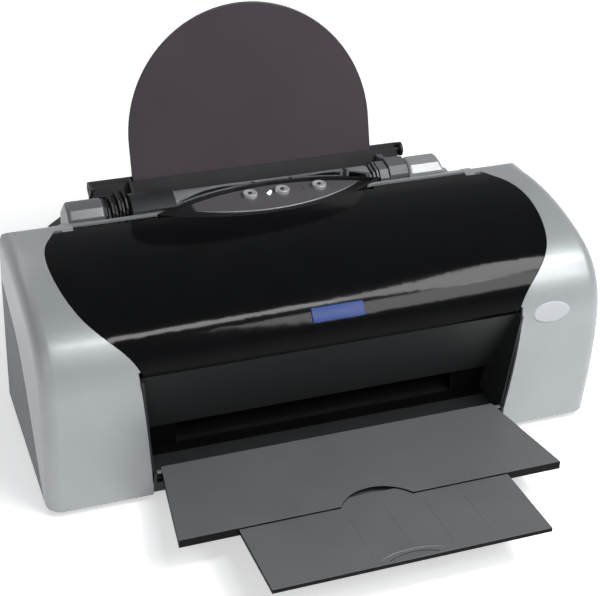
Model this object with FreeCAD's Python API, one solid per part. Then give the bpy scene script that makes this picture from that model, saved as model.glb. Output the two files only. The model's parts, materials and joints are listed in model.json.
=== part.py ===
"""Desktop inkjet sheet printer, built as an assembly. Millimetres, +Z up, front towards -Y.

Lengths are written from the front face of the wings (y = 0) and the floor (z = 0). save() moves
each piece so that the row's origin is below the middle of the printer's depth.
"""
import FreeCAD, Part
import math
import os

Vector = FreeCAD.Vector

# ---- casing ----
half_width = 229.5          # outer face of a side, from the middle
case_foot_z = 6.0           # lower edge of the casing, above the floor
wing_depth = 165.0          # front face to rear face of the wings
wall = 2.5                  # moulded wall
corner_radius = 12.0        # rounded outer edges of the wings
rear_corner_r = 10.0        # rear corners of the wings, seen from above
shoulder_start = 134.0      # from here back the top's rounding runs straight
shoulder_r = 12.8
side_taper = 3.5            # how far a side closes in from front to rear
side_tuck = 1.5             # and from its top to its foot
front_points = [(0.5, 6), (-0.8, 40), (0.6, 88), (9, 122), (24, 141), (58, 155.5), (103, 162), (150, 160.2)]
rear_round = (161, 157.4)   # a point on the rounded rear top edge
rear_drop_z = 148.0         # where the rear face starts
panel_gap = 0.4             # open joint between casing parts
body_half = 172.0           # half width of the feeder part behind the wings
body_rear = 236.0           # rear face of the feeder part
body_top = 142.0            # top edge of the rear cover
deck_z = 150.0              # deck that carries the sheet feeder's fittings
body_lean_z = 104.0         # where the rear face starts to lean forward
body_lean_y = 220.0         # rear face at its top edge

# ---- floor and feet ----
floor_t = 2.5
pan_height = 18.0
foot_r = 8.0
foot_x_front = half_width - 29.5
foot_y_front = 22.0
foot_x_rear = body_half - 17.0
foot_y_rear = 218.0
inner_fit = 0.3             # lower case inside the upper case

# ---- cover ----
cover_tilt = 25.0           # side walls of the cover opening, from upright
cover_outline = [(0, 54.2), (153, 54.2), (161.5, 65), (174, 77.5), (187, 94), (196, 118), (200.3, 148),
                 (197, 178), (189, 193)]
cover_gap = 0.5
cover_rear_gap = 1.2
cover_rear_y = 149.5        # rear edge of the cover, and its hinge
barrel_r = 2.9
barrel_half = 168.0
hinge_pin_r = 1.5
hinge_pin_len = 7.0
hinge_boss = 9.0
running_fit = 0.06

# ---- control panel ----
eye_left = (-100.0, 153.0)
eye_right = (96.0, 163.0)
eye_front = (-8.0, 130.0)
eye_rear = (8.0, 182.0)
eye_depth = 5.5
eye_gap = 0.5
button_xs = {"power": -17.0, "paper": 11.0, "ink": 43.5}
button_y = 168.0
button_r = 6.0
button_travel = 1.0
button_fit = 0.15
button_proud = 3.0
lamp_xs = (-28.0, -0.8, 30.5)
lamp_r = 1.5
board_t = 1.6
board_posts = (-38.0, 54.0)

# ---- front recess ----
recess_low = (147.0, 17.5)  # half width and height at the recess floor
recess_high = (155.5, 111.0)
recess_depth = 38.0
panel_lip_y = 33.0          # lower edge of the sloping panel, over the slot
panel_lip_z = 45.0
panel_top_y = 8.5
panel_top_gap = 0.6
cover_foot_rise = 6.0       # the recess runs on up to the cover's lower edge
slot_top_y = 31.0
slot_half = 118.0
slot_low = 20.0
slot_high = 43.5
slot_head = 50.0
sill_front = 8.0

# ---- output tray ----
tray_axis = (1.5, 24.0)     # hinge line, y and z
tray_tilt = 4.0
tray_reach = 87.0           # hinge to front edge
tray_back = 4.5
tray_half_back = 139.6
tray_half_front = 153.0
tray_t = 6.5
tray_skin = 1.2
tray_pin_r = 2.2
tray_pin_len = 7.2
notch_half = 29.0
notch_depth = 16.0
extension_half = 108.0
extension_len = 82.0
extension_out = 157.9       # hinge to the extension's front edge, pulled out
slide_gap = 0.3

# ---- sheet path ----
sheet_lean = 18.9           # lean of the loaded sheets, from upright
sheet_point = (212.0, 180.0)
support_half = 105.5
support_spring = 12.0       # start of the arch, along the sheet from sheet_point
support_t = 3.0
support_seat = -36.0        # lower edge of the support, along the sheet
support_front = -0.5        # front face of the support, out of the sheet plane
hopper_low = -120.0
hopper_high = -18.0
hopper_t = 2.0
hopper_pin_q = -20.0
hopper_swing = 6.5
back_wall_deep = -14.0
back_wall_high = -6.5
spring_q = -95.0
spring_r = 6.0
feeder_left = -141.0        # inner face of the feeder's left side plate
feeder_right = 131.0
sheet_metal = 1.5
side_plate_t = 2.0
beside_plate = side_plate_t + 0.4

# ---- silver feeder parts ----
feeder_top = 168.5
feeder_cover_inset = 2.0    # outer face of a feeder cover, inside the rear cover's side
feeder_cover_rear = 190.0
right_cover_left = 122.7
right_cover_foot = 160.0    # its outer face slopes in from here
right_cover_top = 148.0
cover_flange_t = 3.0
shoulder_x = 148.0          # where the rear cover's top starts to slope to the sides
shoulder_drop = 25.0
lip_left = -117.4
lip_right = 67.0
lip_end_right = 88.0
lip_seam = 3.0
lip_front = 160.5
lip_rear = 190.0
lip_low = 150.0
lip_crest = 166.0
guide_left = -118.0
guide_right = -82.0
guide_wall_x = -110.0
guide_wall_t = 2.0
guide_gap = 0.4
fixed_guide_x = 108.5
guide_block_left = 106.0    # block in front of the fixed guide
step_left = 89.0            # ribbed step beside it
rib_pitch = 2.8

# ---- drive ----
module = 1.0
teeth = {"drive": 40, "exit": 32, "idler": 24, "pinion": 12, "feed": 30}
mesh_play = 0.05
drive_axis = (122.0, 52.0)
exit_axis = (74.0, 44.0)
feed_toward = (28.0, 32.0)
pinion_angle = -75.0
gear_w = 4.0
drive_r = 6.0
pinch_r = 4.0
exit_r = 5.0
star_r = 5.0
roller_half = 125.0
shaft_r = 4.0
exit_shaft_r = 3.0
feed_tyre_r = 16.0
nip_gap = 0.3

# ---- frame ----
frame_half = half_width - 16.5
gear_x = -frame_half - 1.5 - gear_w
frame_front = 60.0
frame_rear = 157.0
frame_top = 128.0
inner_plate_x = 130.0
back_plate_y = 131.5
back_plate_low = 70.0

# ---- carriage ----
guide_shaft_axis = (119.0, 84.0)
guide_shaft_r = 4.0
carriage_park = frame_half - 90.0   # left face of the parked carriage
carriage_w = 84.0
carriage_front = 64.0
carriage_rear = 114.0
carriage_low = 70.0
carriage_top = 122.0
cartridge_pitch = 19.8
cartridge_w = 18.8
cartridge_top = 117.0
head_front = 86.0
head_rear = 110.0
head_low = 51.0
belt_y = 126.6
belt_w = 4.0
belt_t = 1.2
pulley_r = 6.0
pulley_x = frame_half - 11.0
pulley_z = 106.0
cap_gap = 0.5
platen_top = 49.0

# ---- rear fittings ----
inlet_x = 15.0 - body_half
inlet_z = 50.0
inlet_half = (11.5, 8.0)
usb_x = body_half - 24.0
usb_z = 60.0

# ---- name badge ----
badge_x = 2.6
badge_z = 134.4
badge_size = (42.4, 8.4)     # width, and height seen from the front

floor_top = case_foot_z + floor_t
frame_floor = floor_top + sheet_metal
support_rise = support_half
y_front = tray_axis[0] - extension_out * math.cos(math.radians(tray_tilt))


def lean_point(along, out):
    """A point of the leaning sheet plane: along the sheet, and out of it towards the front."""
    s, c = math.sin(math.radians(sheet_lean)), math.cos(math.radians(sheet_lean))
    return (sheet_point[0] + along * s - out * c, sheet_point[1] + along * c + out * s)


y_back = lean_point(support_spring + support_rise, support_front - support_t)[0]
y_mid = (y_front + y_back) / 2


# ---- shapes ----
def box(x0, x1, y0, y1, z0, z1):
    return Part.makeBox(x1 - x0, y1 - y0, z1 - z0, Vector(x0, y0, z0))


def rod_x(x0, x1, y, z, r):
    return Part.makeCylinder(r, x1 - x0, Vector(x0, y, z), Vector(1, 0, 0))


def rod_y(y0, y1, x, z, r):
    return Part.makeCylinder(r, y1 - y0, Vector(x, y0, z), Vector(0, 1, 0))


def rod_z(z0, z1, x, y, r):
    return Part.makeCylinder(r, z1 - z0, Vector(x, y, z0))


def face_of(points):
    return Part.Face(Part.makePolygon(list(points) + [points[0]]))


def slab_x(points, x0, x1):
    """A prism along X with a section given as (y, z) points."""
    return face_of([Vector(x0, y, z) for y, z in points]).extrude(Vector(x1 - x0, 0, 0))


def slab_y(points, y0, y1):
    return face_of([Vector(x, y0, z) for x, z in points]).extrude(Vector(0, y1 - y0, 0))


def slab_z(points, z0, z1):
    return face_of([Vector(x, y, z0) for x, y in points]).extrude(Vector(0, 0, z1 - z0))


def lean_slab(a0, a1, o0, o1, x0, x1):
    """A plate in the leaning sheet plane."""
    corners = [lean_point(a0, o0), lean_point(a1, o0), lean_point(a1, o1), lean_point(a0, o1)]
    return slab_x(corners, x0, x1)


def fuse(*shapes):
    return shapes[0].multiFuse(list(shapes[1:])).removeSplitter()


def mirror(shape):
    return shape.mirror(Vector(0, 0, 0), Vector(1, 0, 0))


def both(shape):
    return Part.makeCompound([shape, mirror(shape)])


def save(name, shape):
    moved = shape.copy()
    moved.translate(Vector(0, -y_mid, 0))
    moved.exportStep("parts/" + name + ".step")


# ---- casing ----
def case_profile(inset):
    """Side outline of the wings as a face in the YZ plane, moved inwards by inset and open below."""
    front = Part.BSplineCurve()
    front.interpolate([Vector(0, y, z) for y, z in front_points])
    moved = []
    for y, z in front_points:
        along = front.tangent(front.parameter(Vector(0, y, z)))[0]
        moved.append(Vector(0, y + along.z * inset, z - along.y * inset))
    if inset:
        moved[0].z = case_foot_z - 1
    line = Part.BSplineCurve()
    line.interpolate(moved)
    middle = Vector(0, rear_round[0] - 0.7 * inset, rear_round[1] - 0.7 * inset)
    corner = Vector(0, wing_depth - inset, rear_drop_z)
    base = Vector(0, wing_depth - inset, moved[0].z)
    rear = Part.Arc(moved[-1], middle, corner).toShape()
    edges = [line.toShape(), rear, Part.makeLine(corner, base), Part.makeLine(base, moved[0])]
    return Part.Face(Part.Wire(edges))


def profile_block(inset):
    """The casing's outer form, or the same form moved inwards by inset."""
    face = case_profile(inset)
    half = half_width - inset
    face.translate(Vector(-half, 0, 0))
    block = face.extrude(Vector(2 * half, 0, 0)).cut(both(beside(inset)))
    edges = [e for e in block.Edges if is_wing_edge(e)]
    block = block.makeFillet(corner_radius - inset, edges)
    return block.cut(both(rear_corner(inset))).cut(both(rear_shoulder(block, inset)))


def side_x(y, z):
    """Outer face of the right side at a point: it closes in to the rear and to the foot."""
    down = (rear_drop_z - z) / (rear_drop_z - case_foot_z)
    return half_width - side_taper * y / wing_depth - side_tuck * down


def beside(inset):
    """All that lies outside the right side's face."""
    corners = [(-20, -20), (wing_depth + 20, -20), (wing_depth + 20, 200), (-20, 200)]
    face = face_of([Vector(side_x(y, z) - inset, y, z) for y, z in corners])
    return face.extrude(Vector(corner_radius * 3, 0, 0))


def rear_corner(inset):
    """What the rounding takes off the right rear corner."""
    x, y = side_x(wing_depth, rear_drop_z) - rear_corner_r, wing_depth - rear_corner_r
    block = box(x, half_width + 5, y, wing_depth + 5, -20, 200)
    return block.cut(rod_z(-21, 201, x, y, rear_corner_r - inset))


def rear_shoulder(block, inset):
    """What the rounding takes off the right side's top, where the front curve runs out."""
    y0, y1 = shoulder_start, front_points[-1][0]
    r, z0, z1 = shoulder_r - inset, top_z(block, y0), top_z(block, y1)
    x = side_x(y1, z1) - shoulder_r
    length = wing_depth + 5 - y0
    corner = box(x, half_width + 5, 0, length, 0, shoulder_r + 5).cut(rod_y(-1, length + 1, x, 0, r))
    corner.rotate(Vector(0, 0, 0), Vector(1, 0, 0), math.degrees(math.atan2(z1 - z0, y1 - y0)))
    corner.translate(Vector(0, y0, z0 - r))
    return corner


def is_wing_edge(edge):
    """True for the long curved front edge of either side."""
    box_of = edge.BoundBox
    return abs(box_of.Center.x) > half_width - corner_radius and box_of.XLength < corner_radius \
        and box_of.YLength > 100 and box_of.ZLength > 100


def case_shell():
    return profile_block(0).cut(profile_block(wall))


def top_z(shell, y):
    """Height of the casing's outer face at the middle, at a given y."""
    line = Part.makeLine(Vector(0, y, rear_drop_z), Vector(0, y, 2 * rear_drop_z))
    return max(v.Z for v in line.common(shell).Vertexes)


def cover_prism(grow):
    """The cover's outline, pushed through the casing along the cover's cutting direction."""
    tilt = math.radians(cover_tilt)
    across, through = Vector(0, math.cos(tilt), math.sin(tilt)), Vector(0, -math.sin(tilt), math.cos(tilt))

    def place(x, s):
        return Vector(x, 0, 0) + across * s + through * 60

    half = [(x + (grow if x else 0), s - (grow if s < 60 else 0)) for x, s in cover_outline]
    side = Part.BSplineCurve()
    side.interpolate([place(*p) for p in half[1:]])
    other = Part.BSplineCurve()
    other.interpolate([place(-x, s) for x, s in half[1:]])
    end_x, end_s = half[-1]
    far = end_s + 20 + grow
    rear = Part.BSplineCurve()
    rear.interpolate([place(end_x, end_s), place(end_x - 8, end_s + 11 + grow), place(end_x - 22, far)])
    rear_other = Part.BSplineCurve()
    rear_other.interpolate([place(-end_x, end_s), place(8 - end_x, end_s + 11 + grow),
                            place(22 - end_x, far)])
    front_edge = Part.makeLine(place(-half[1][0], half[1][1]), place(*half[1]))
    edges = [front_edge, side.toShape(), rear.toShape(),
             Part.makeLine(place(end_x - 22, far), place(22 - end_x, far)), rear_other.toShape(),
             other.toShape()]
    wire = Part.Wire(Part.__sortEdges__(edges))
    return Part.Face(wire).extrude(through * 160)


def eye_prism(grow, z0, z1):
    """The lens-shaped outline of the control panel."""
    left = Vector(eye_left[0] - 2 * grow, eye_left[1], z0)
    right = Vector(eye_right[0] + 2 * grow, eye_right[1], z0)
    front = Part.Arc(left, Vector(eye_front[0], eye_front[1] - grow, z0), right).toShape()
    rear = Part.Arc(right, Vector(eye_rear[0], eye_rear[1] + grow, z0), left).toShape()
    return Part.Face(Part.Wire([front, rear])).extrude(Vector(0, 0, z1 - z0))


def recess_prism(grow, y0, y1, rise=0):
    """The front recess between the wings, wider at the top."""
    low, high = recess_low, recess_high
    widening = (high[0] - low[0]) / (high[1] - low[1])
    high = high[0] + widening * rise, high[1] + rise
    return slab_y([(-low[0] - grow, low[1] - grow), (low[0] + grow, low[1] - grow),
                   (high[0] + grow, high[1]), (-high[0] - grow, high[1])], y0, y1)


seam_points = [(16, 5), (31, 20), (42, 36), (53, 51), (67, 70), (83, 88), (104, 103), (124, 111), (146, 118),
               (166, 124)]


def seam_region(side, shift):
    """Everything on one side of the casing below the diagonal seam of the side panel."""
    curve = Part.BSplineCurve()
    curve.interpolate([Vector(0, y + shift, z - shift) for y, z in seam_points])
    first, last = seam_points[0], seam_points[-1]
    a = Vector(0, first[0] + shift, first[1] - shift)
    b = Vector(0, last[0] + shift, last[1] - shift)
    c, d = Vector(0, b.y, 0), Vector(0, a.y, 0)
    sides = [Part.makeLine(p, q) for p, q in ((b, c), (c, d), (d, a))]
    face = Part.Face(Part.Wire([curve.toShape()] + sides))
    depth = corner_radius + wall
    face.translate(Vector(side * (half_width + 1), 0, 0))
    return face.extrude(Vector(-side * depth, 0, 0))


def make_case(shell):
    bridge_z = (138.0, 147.5)
    opening = cover_prism(cover_gap)
    shifted = opening.copy()
    shifted.translate(Vector(0, cover_rear_gap, 0))
    shifted = shifted.common(box(-half_width, half_width, 90, cover_rear_y, 100, 200))
    passage = box(-body_half - panel_gap, body_half + panel_gap, lip_front - panel_gap, wing_depth + 1,
                  case_foot_z - 1, 200)
    rear_slot = box(-barrel_half - 1, barrel_half + 1, cover_rear_y - 5, cover_rear_y + barrel_r + cover_gap,
                    deck_z, 200)
    case = shell.cut(opening.common(box(-half_width, half_width, -20, cover_rear_y, 0, 200)))
    case = case.cut(shifted).cut(passage).cut(rear_slot)
    case = case.cut(recess_prism(panel_gap, -20, recess_depth + 5, cover_foot_rise))
    case = case.cut(box(-recess_low[0], recess_low[0], -20, recess_depth, 0, recess_low[1] + 1))
    case = case.cut(eye_prism(eye_gap, deck_z, 200))
    beam_front = cover_rear_y + barrel_r + cover_gap + 0.5
    inner_face = wing_depth - wall
    beam = box(-body_half - 6, body_half + 6, beam_front, lip_front - 1, *bridge_z)
    ends = both(box(body_half + 1, body_half + 6, lip_front - 1.5, inner_face + 1, *bridge_z))
    posts = both(box(body_half - 20, body_half - 1, beam_front, lip_front - 1, bridge_z[1] - 1, 159))
    hinge_z = top_z(shell, cover_rear_y) - barrel_r
    near = barrel_half + 1
    bosses = both(box(near, near + hinge_boss, cover_rear_y - 3.5, lip_front - 1,
                      hinge_z - 3.5, hinge_z + 2.2))
    arms = both(box(near + 1, near + hinge_boss, beam_front, lip_front - 1, bridge_z[1] - 1, hinge_z))
    case = fuse(case, beam, *ends.Solids, *posts.Solids, *bosses.Solids, *arms.Solids)
    holes = both(rod_x(barrel_half, near + hinge_boss + 1, cover_rear_y, hinge_z, hinge_pin_r + running_fit))
    for side in (-1, 1):
        case = case.cut(seam_region(side, 0))
    return case.cut(holes), hinge_z


def make_side_panel(shell, side):
    region = seam_region(side, panel_gap)
    passage = box(-body_half - panel_gap, body_half + panel_gap, lip_front, wing_depth + 1, 0, 200)
    panel = shell.common(region).cut(passage)
    return max(panel.Solids, key=lambda s: s.Volume)


def make_cover(shell, hinge_z):
    cover = shell.common(cover_prism(0)).common(box(-half_width, half_width, -20, cover_rear_y, 100, 200))
    barrel = rod_x(-barrel_half, barrel_half, cover_rear_y, hinge_z, barrel_r)
    swing_y = cover_rear_y - barrel_r - 1.3
    corners = both(box(barrel_half + 0.5, half_width, swing_y, 200, 100, 200))
    tips = box(eye_left[0] - 2, eye_right[0] - 12, swing_y, 200, 100, 200)
    cover = cover.fuse(barrel).cut(eye_prism(eye_gap + 0.8, 100, 200)).cut(corners).cut(tips)
    pins = both(rod_x(barrel_half - 2, barrel_half + hinge_pin_len, cover_rear_y, hinge_z, hinge_pin_r))
    return fuse(cover, *pins.Solids)


def make_lower_case():
    fit, mid = wall + inner_fit, body_half - wall - inner_fit
    rear, wing_rear = body_rear - wall - inner_fit, lip_front - panel_gap
    front = front_points[0][0] + wall + inner_fit
    turn, turn_cut = wing_depth - rear_corner_r, rear_corner_r * 0.6

    def outline(t):
        cut = corner_radius
        first, last = side_x(front + cut, case_foot_z) - fit, side_x(wing_rear, case_foot_z) - fit
        right = [(first - t - cut, front + t), (first - t, front + t + cut),
                 (side_x(turn, case_foot_z) - fit - t, turn), (last - t - turn_cut, wing_rear - t),
                 (mid - t, wing_rear - t), (mid - t, rear - t)]
        return right + [(-x, y) for x, y in reversed(right)]

    pan = slab_z(outline(0), case_foot_z, case_foot_z + pan_height).cut(slab_z(outline(wall), floor_top, 100))
    side = recess_low[0] + panel_gap + 1
    return pan.cut(box(-side, side, 0, recess_depth + 12, recess_low[1] - floor_t - panel_gap, 100))


def make_front_panel():
    panel_top_z = recess_high[1] - panel_top_gap
    face = [(panel_top_y, panel_top_z), (slot_top_y, slot_head), (panel_lip_y, panel_lip_z),
            (recess_depth, panel_lip_z - 0.5), (recess_depth, slot_low),
            (sill_front, recess_low[1]), (sill_front, recess_low[1] - floor_t),
            (recess_depth + wall, slot_low - wall), (recess_depth + wall, panel_lip_z + wall),
            (panel_lip_y + wall + 1, panel_lip_z + wall + 0.5),
            (slot_top_y + wall + 1, slot_head + 1), (panel_top_y + wall + 1, panel_top_z)]
    inner = recess_low[0], recess_high[0]
    panel = slab_x(face, -inner[1], inner[1]).common(recess_prism(0, -20, 100).fuse(
        box(-recess_low[0], recess_low[0], 0, 100, 0, recess_low[1])))
    slot = box(-slot_half, slot_half, recess_depth - 1, recess_depth + wall + 1, slot_low + 1, slot_high)
    panel = panel.cut(slot)
    ramp = slab_x([(recess_depth, slot_low), (64, 36), (64, 34), (recess_depth + 1, slot_low - 2.2)],
                  -slot_half, slot_half)
    x0, x1 = recess_low[0], recess_high[0]
    cheek = slab_y([(x0 - 2, recess_low[1]), (x1 - 2, panel_top_z), (x1, panel_top_z), (x0, recess_low[1])],
                   front_points[1][0] + 3, recess_depth + wall)
    lower_cheek = box(x0 - 2, x0, front_points[0][0] + 4.2, recess_depth + wall,
                      recess_low[1] - floor_t, slot_low)
    holes = both(rod_x(x0 - 4, x1, tray_axis[0], tray_axis[1], tray_pin_r + running_fit))
    lugs = both(box(x0 - 2, x0, tray_axis[0] - 3.6, recess_depth, recess_low[1] - 0.5, tray_axis[1] + 3.6))
    panel = fuse(panel, ramp, *both(cheek).Solids, *both(lower_cheek).Solids, *lugs.Solids)
    return panel.cut(holes)


def make_rear_cover():
    def outline(t):
        return [(lip_front + t, case_foot_z), (body_rear - t, case_foot_z), (body_rear - t, body_lean_z),
                (body_lean_y - t, body_top + t), (lip_front + t, body_top + t)]

    half = body_half

    def shoulders(t):
        """What the slopes take off the top sides, behind the feeder covers."""
        low = body_top - shoulder_drop
        face = [(shoulder_x, body_top - t), (half + 1, low - t), (half + 1, body_top + 9),
                (shoulder_x - t, body_top + 9), (shoulder_x - t, body_top - t)]
        return both(slab_y(face, feeder_cover_rear - t, body_rear + 1))

    cover = slab_x(outline(0), -half, half).cut(shoulders(0))
    hollow = slab_x([(lip_front - 5, 0), (body_rear - wall, 0), (body_rear - wall, body_lean_z - 0.5),
                     (body_lean_y - wall - 0.5, body_top + 1), (lip_front - 5, body_top + 1)],
                    -half + wall, half - wall)
    cover = cover.cut(hollow.cut(shoulders(wall)))
    inlet = inlet_block(-inner_fit, body_rear - wall - 1, body_rear + 1)
    usb = box(usb_x - 8.3, usb_x + 8.3, body_rear - wall - 1, body_rear + 1, usb_z - 7.3, usb_z + 7.3)
    screws = [rod_y(body_rear - wall - 1, body_rear + 1, x, z, 2.1) for x, z in screw_places()]
    return cover.cut(Part.makeCompound([inlet, usb] + screws))


def screw_places():
    """Centres of the rear cover's screws, x and z."""
    return [(x, z) for x in (-100.0, 100.0) for z in (34.0, 90.0)]


def make_rear_screws():
    screws = []
    for x, z in screw_places():
        head = rod_y(body_rear, body_rear + 2.2, x, z, 4.0)
        shank = rod_y(body_rear - wall - 4, body_rear, x, z, 2.0)
        cross = [box(x - 2.2, x + 2.2, body_rear + 1.2, body_rear + 3, z - 0.5, z + 0.5),
                 box(x - 0.5, x + 0.5, body_rear + 1.2, body_rear + 3, z - 2.2, z + 2.2)]
        screws.append(fuse(head, shank).cut(Part.makeCompound(cross)))
    return Part.makeCompound(screws)


def make_feet():
    feet = [rod_z(0, case_foot_z, sx * x, y, foot_r) for sx in (-1, 1)
            for x, y in ((foot_x_front, foot_y_front), (foot_x_rear, foot_y_rear))]
    return Part.makeCompound([f.makeFillet(1, [e for e in f.Edges if e.BoundBox.ZMax < 0.1]) for f in feet])


def make_badge(shell):
    """A blank plate on the cover's front."""
    w, h = badge_size
    tilt = math.radians(cover_tilt)
    window = box(badge_x - w / 2, badge_x + w / 2, -20, 60, badge_z - h / 2, badge_z + h / 2)
    skin = shell.common(window)
    plate = skin.copy()
    plate.translate(Vector(0, -math.cos(tilt), math.sin(tilt)))
    return plate.cut(shell)


# ---- control panel ----
def make_control_panel(rim_z):
    bowl = eye_prism(0, rim_z - eye_depth, rim_z)
    bowl = bowl.cut(eye_prism(-2, rim_z - eye_depth + 2, rim_z + 1))
    floor_z = rim_z - eye_depth
    holes = [rod_z(floor_z - 1, rim_z, x, button_y, button_r + button_fit) for x in button_xs.values()]
    holes += [rod_z(floor_z - 1, rim_z, x, button_y, lamp_r + 0.05) for x in lamp_xs]
    return bowl.cut(Part.makeCompound(holes))


def make_button(x, rim_z):
    top = rim_z - eye_depth + 2 + button_proud
    button = rod_z(rim_z - eye_depth - 1.5, top, x, button_y, button_r)
    dish = Part.makeSphere(14, Vector(x, button_y, top + 13.2))
    rim = [e for e in button.Edges if e.BoundBox.ZMin > top - 0.1]
    return button.makeFillet(0.6, rim).cut(dish)


def make_lamps(rim_z):
    floor_z = rim_z - eye_depth
    return Part.makeCompound([rod_z(floor_z - 0.5, floor_z + 2.6, x, button_y, lamp_r) for x in lamp_xs])


def make_button_board(rim_z):
    under = rim_z - eye_depth - 1.5 - button_travel - 0.3
    board = box(-42, 58, lip_front + 0.2, button_y + 9, under - 2.4 - board_t, under - 2.4)
    parts = [box(x - 3, x + 3, button_y - 3, button_y + 3, under - 2.6, under) for x in button_xs.values()]
    tall = rim_z - eye_depth - 0.5
    parts += [rod_z(under - 2.6, tall, x, button_y, lamp_r) for x in lamp_xs]
    posts = [box(x - 2, x + 2, lip_front + 1, lip_front + 4, under - 2.6, rim_z - eye_depth)
             for x in board_posts]
    parts += posts
    return fuse(board, *parts)


# ---- output tray ----
def tray_frame(shape):
    """From the tray's own directions (forward is -Y, up is +Z, hinge at 0) to its place."""
    shape.rotate(Vector(0, 0, 0), Vector(1, 0, 0), -tray_tilt)
    shape.translate(Vector(0, tray_axis[0], tray_axis[1]))
    return shape


def make_tray():
    half_t = tray_t / 2
    tray = slab_z([(-tray_half_back, tray_back), (-tray_half_front, -tray_reach),
                   (tray_half_front, -tray_reach), (tray_half_back, tray_back)], -half_t, half_t)
    pocket = box(-extension_half - slide_gap, extension_half + slide_gap, -tray_reach - 1, -tray_back + 0.5,
                 -half_t + tray_skin, half_t - tray_skin)
    r = (notch_half ** 2 + notch_depth ** 2) / (2 * notch_depth)
    notch = rod_z(0, half_t + 1, 0, -tray_reach - r + notch_depth, r)
    tray = tray.cut(pocket).cut(notch)
    pin = rod_x(tray_half_back - 6, tray_half_back + tray_pin_len, 0, 0, tray_pin_r)
    collar = rod_x(tray_half_back - 2, recess_low[0] - 2.4, 0, 0, tray_t / 2)
    return tray_frame(fuse(tray, *both(pin).Solids, *both(collar).Solids))


def make_extension():
    t = tray_t / 2 - tray_skin - slide_gap
    plate = box(-extension_half, extension_half, -extension_out, extension_len - extension_out, -t, t)
    grip = rod_z(0, 3, 0, -extension_out + 8 - 40, 40).common(
        box(-30, 30, -extension_out + 3, -extension_out + 30, 0, 3))
    grip.translate(Vector(0, 0, t - 0.8))
    return tray_frame(plate.cut(grip))


# ---- sheet feeder ----
def make_support():
    back, front = support_front - support_t, support_front
    s, c = math.sin(math.radians(sheet_lean)), math.cos(math.radians(sheet_lean))

    def place(x, along):
        y, z = lean_point(along, back)
        return Vector(x, y, z)

    h = support_half
    arch = Part.Arc(place(h, support_spring), place(0, support_spring + support_rise),
                    place(-h, support_spring)).toShape()
    edges = [Part.makeLine(place(-h, support_spring), place(-h, support_seat)),
             Part.makeLine(place(-h, support_seat), place(h, support_seat)),
             Part.makeLine(place(h, support_seat), place(h, support_spring)), arch]
    plate = Part.Face(Part.Wire(Part.__sortEdges__(edges)))
    return plate.extrude(Vector(0, -c * (front - back), s * (front - back)))


def feed_axis():
    reach = (teeth["drive"] + teeth["feed"]) * module / 2 + mesh_play
    length = math.hypot(*feed_toward)
    return (drive_axis[0] + feed_toward[0] / length * reach, drive_axis[1] + feed_toward[1] / length * reach)


def ramp_line():
    """Upper face of the ramp below the feed roller, as two (y, z) points."""
    foot_y, foot_z = lean_point(hopper_low - 3, back_wall_deep)
    return (136.0, 54.0), (foot_y + 1, foot_z + 2)


def ramp_z(y):
    (y0, z0), (y1, z1) = ramp_line()
    return z0 + (z1 - z0) * (y - y0) / (y1 - y0)


def make_separation_pad():
    y, z = feed_axis()
    under = z - feed_tyre_r - 0.5
    low, high = y - 8, y + 9
    return slab_x([(low, ramp_z(low) + nip_gap), (low + 2, under), (high - 3, under),
                   (high, ramp_z(high) + nip_gap)], -15, 15)


def make_feeder_frame():
    plate_points = [(136, 103), (lip_front + 1, 136), (lip_front + 1, 149),
                    (204, 149), (214, 141), (221, 126), (221, floor_top),
                    (frame_rear + 1, floor_top), (frame_rear + 1, 48), (136, 50)]
    left = slab_x(plate_points, feeder_left - side_plate_t, feeder_left)
    right = slab_x(plate_points, feeder_right, feeder_right + side_plate_t)
    span = (feeder_left - 1, feeder_right + 1)
    seat = support_seat
    upper = lean_slab(seat - 1, hopper_high + 3, back_wall_high, support_front - support_t - 0.4, *span)
    step = lean_slab(seat - 2.5, seat, back_wall_deep, support_front, *span)
    lower = lean_slab(hopper_low - 6, seat - 1, back_wall_deep, back_wall_deep + 2.5, *span)
    near, far = ramp_line()
    ramp = slab_x([near, far, (far[0], far[1] - 3), (near[0], near[1] - 3)], *span)
    fy, fz = feed_axis()
    holes = [rod_x(feeder_left - 4, feeder_right + 4, fy, fz, shaft_r + running_fit)]
    py, pz = lean_point(hopper_pin_q, hopper_t / 2)
    holes.append(rod_x(feeder_left - 4, feeder_right + 4, py, pz, 1.5 + running_fit))
    lugs = [rod_x(feeder_left - side_plate_t, feeder_left, py, pz, 6),
            rod_x(feeder_right, feeder_right + side_plate_t, py, pz, 6)]
    frame = fuse(left, right, upper, step, lower, ramp, *lugs)
    return frame.cut(Part.makeCompound(holes))


def make_hopper():
    x0, x1 = feeder_left + 1.5, feeder_right - 1.5
    plate = lean_slab(hopper_low, hopper_high, 0, hopper_t, x0, x1)
    py, pz = lean_point(hopper_pin_q, hopper_t / 2)
    pins = [rod_x(x0 - 3, x0 + 2, py, pz, 1.5), rod_x(x1 - 2, x1 + 3, py, pz, 1.5)]
    return fuse(plate, *pins)


def make_hopper_springs():
    y0, z0 = lean_point(spring_q, back_wall_deep + 2.5)
    axis = Vector(0, -math.cos(math.radians(sheet_lean)), math.sin(math.radians(sheet_lean)))
    length = -(back_wall_deep + 2.5) - 0.2
    springs = []
    for x in (-60, 60):
        start = Vector(x, y0, z0)
        springs.append(Part.makeCylinder(spring_r, length, start, axis).cut(
            Part.makeCylinder(spring_r - 1, length, start, axis)))
    return Part.makeCompound(springs)


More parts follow.
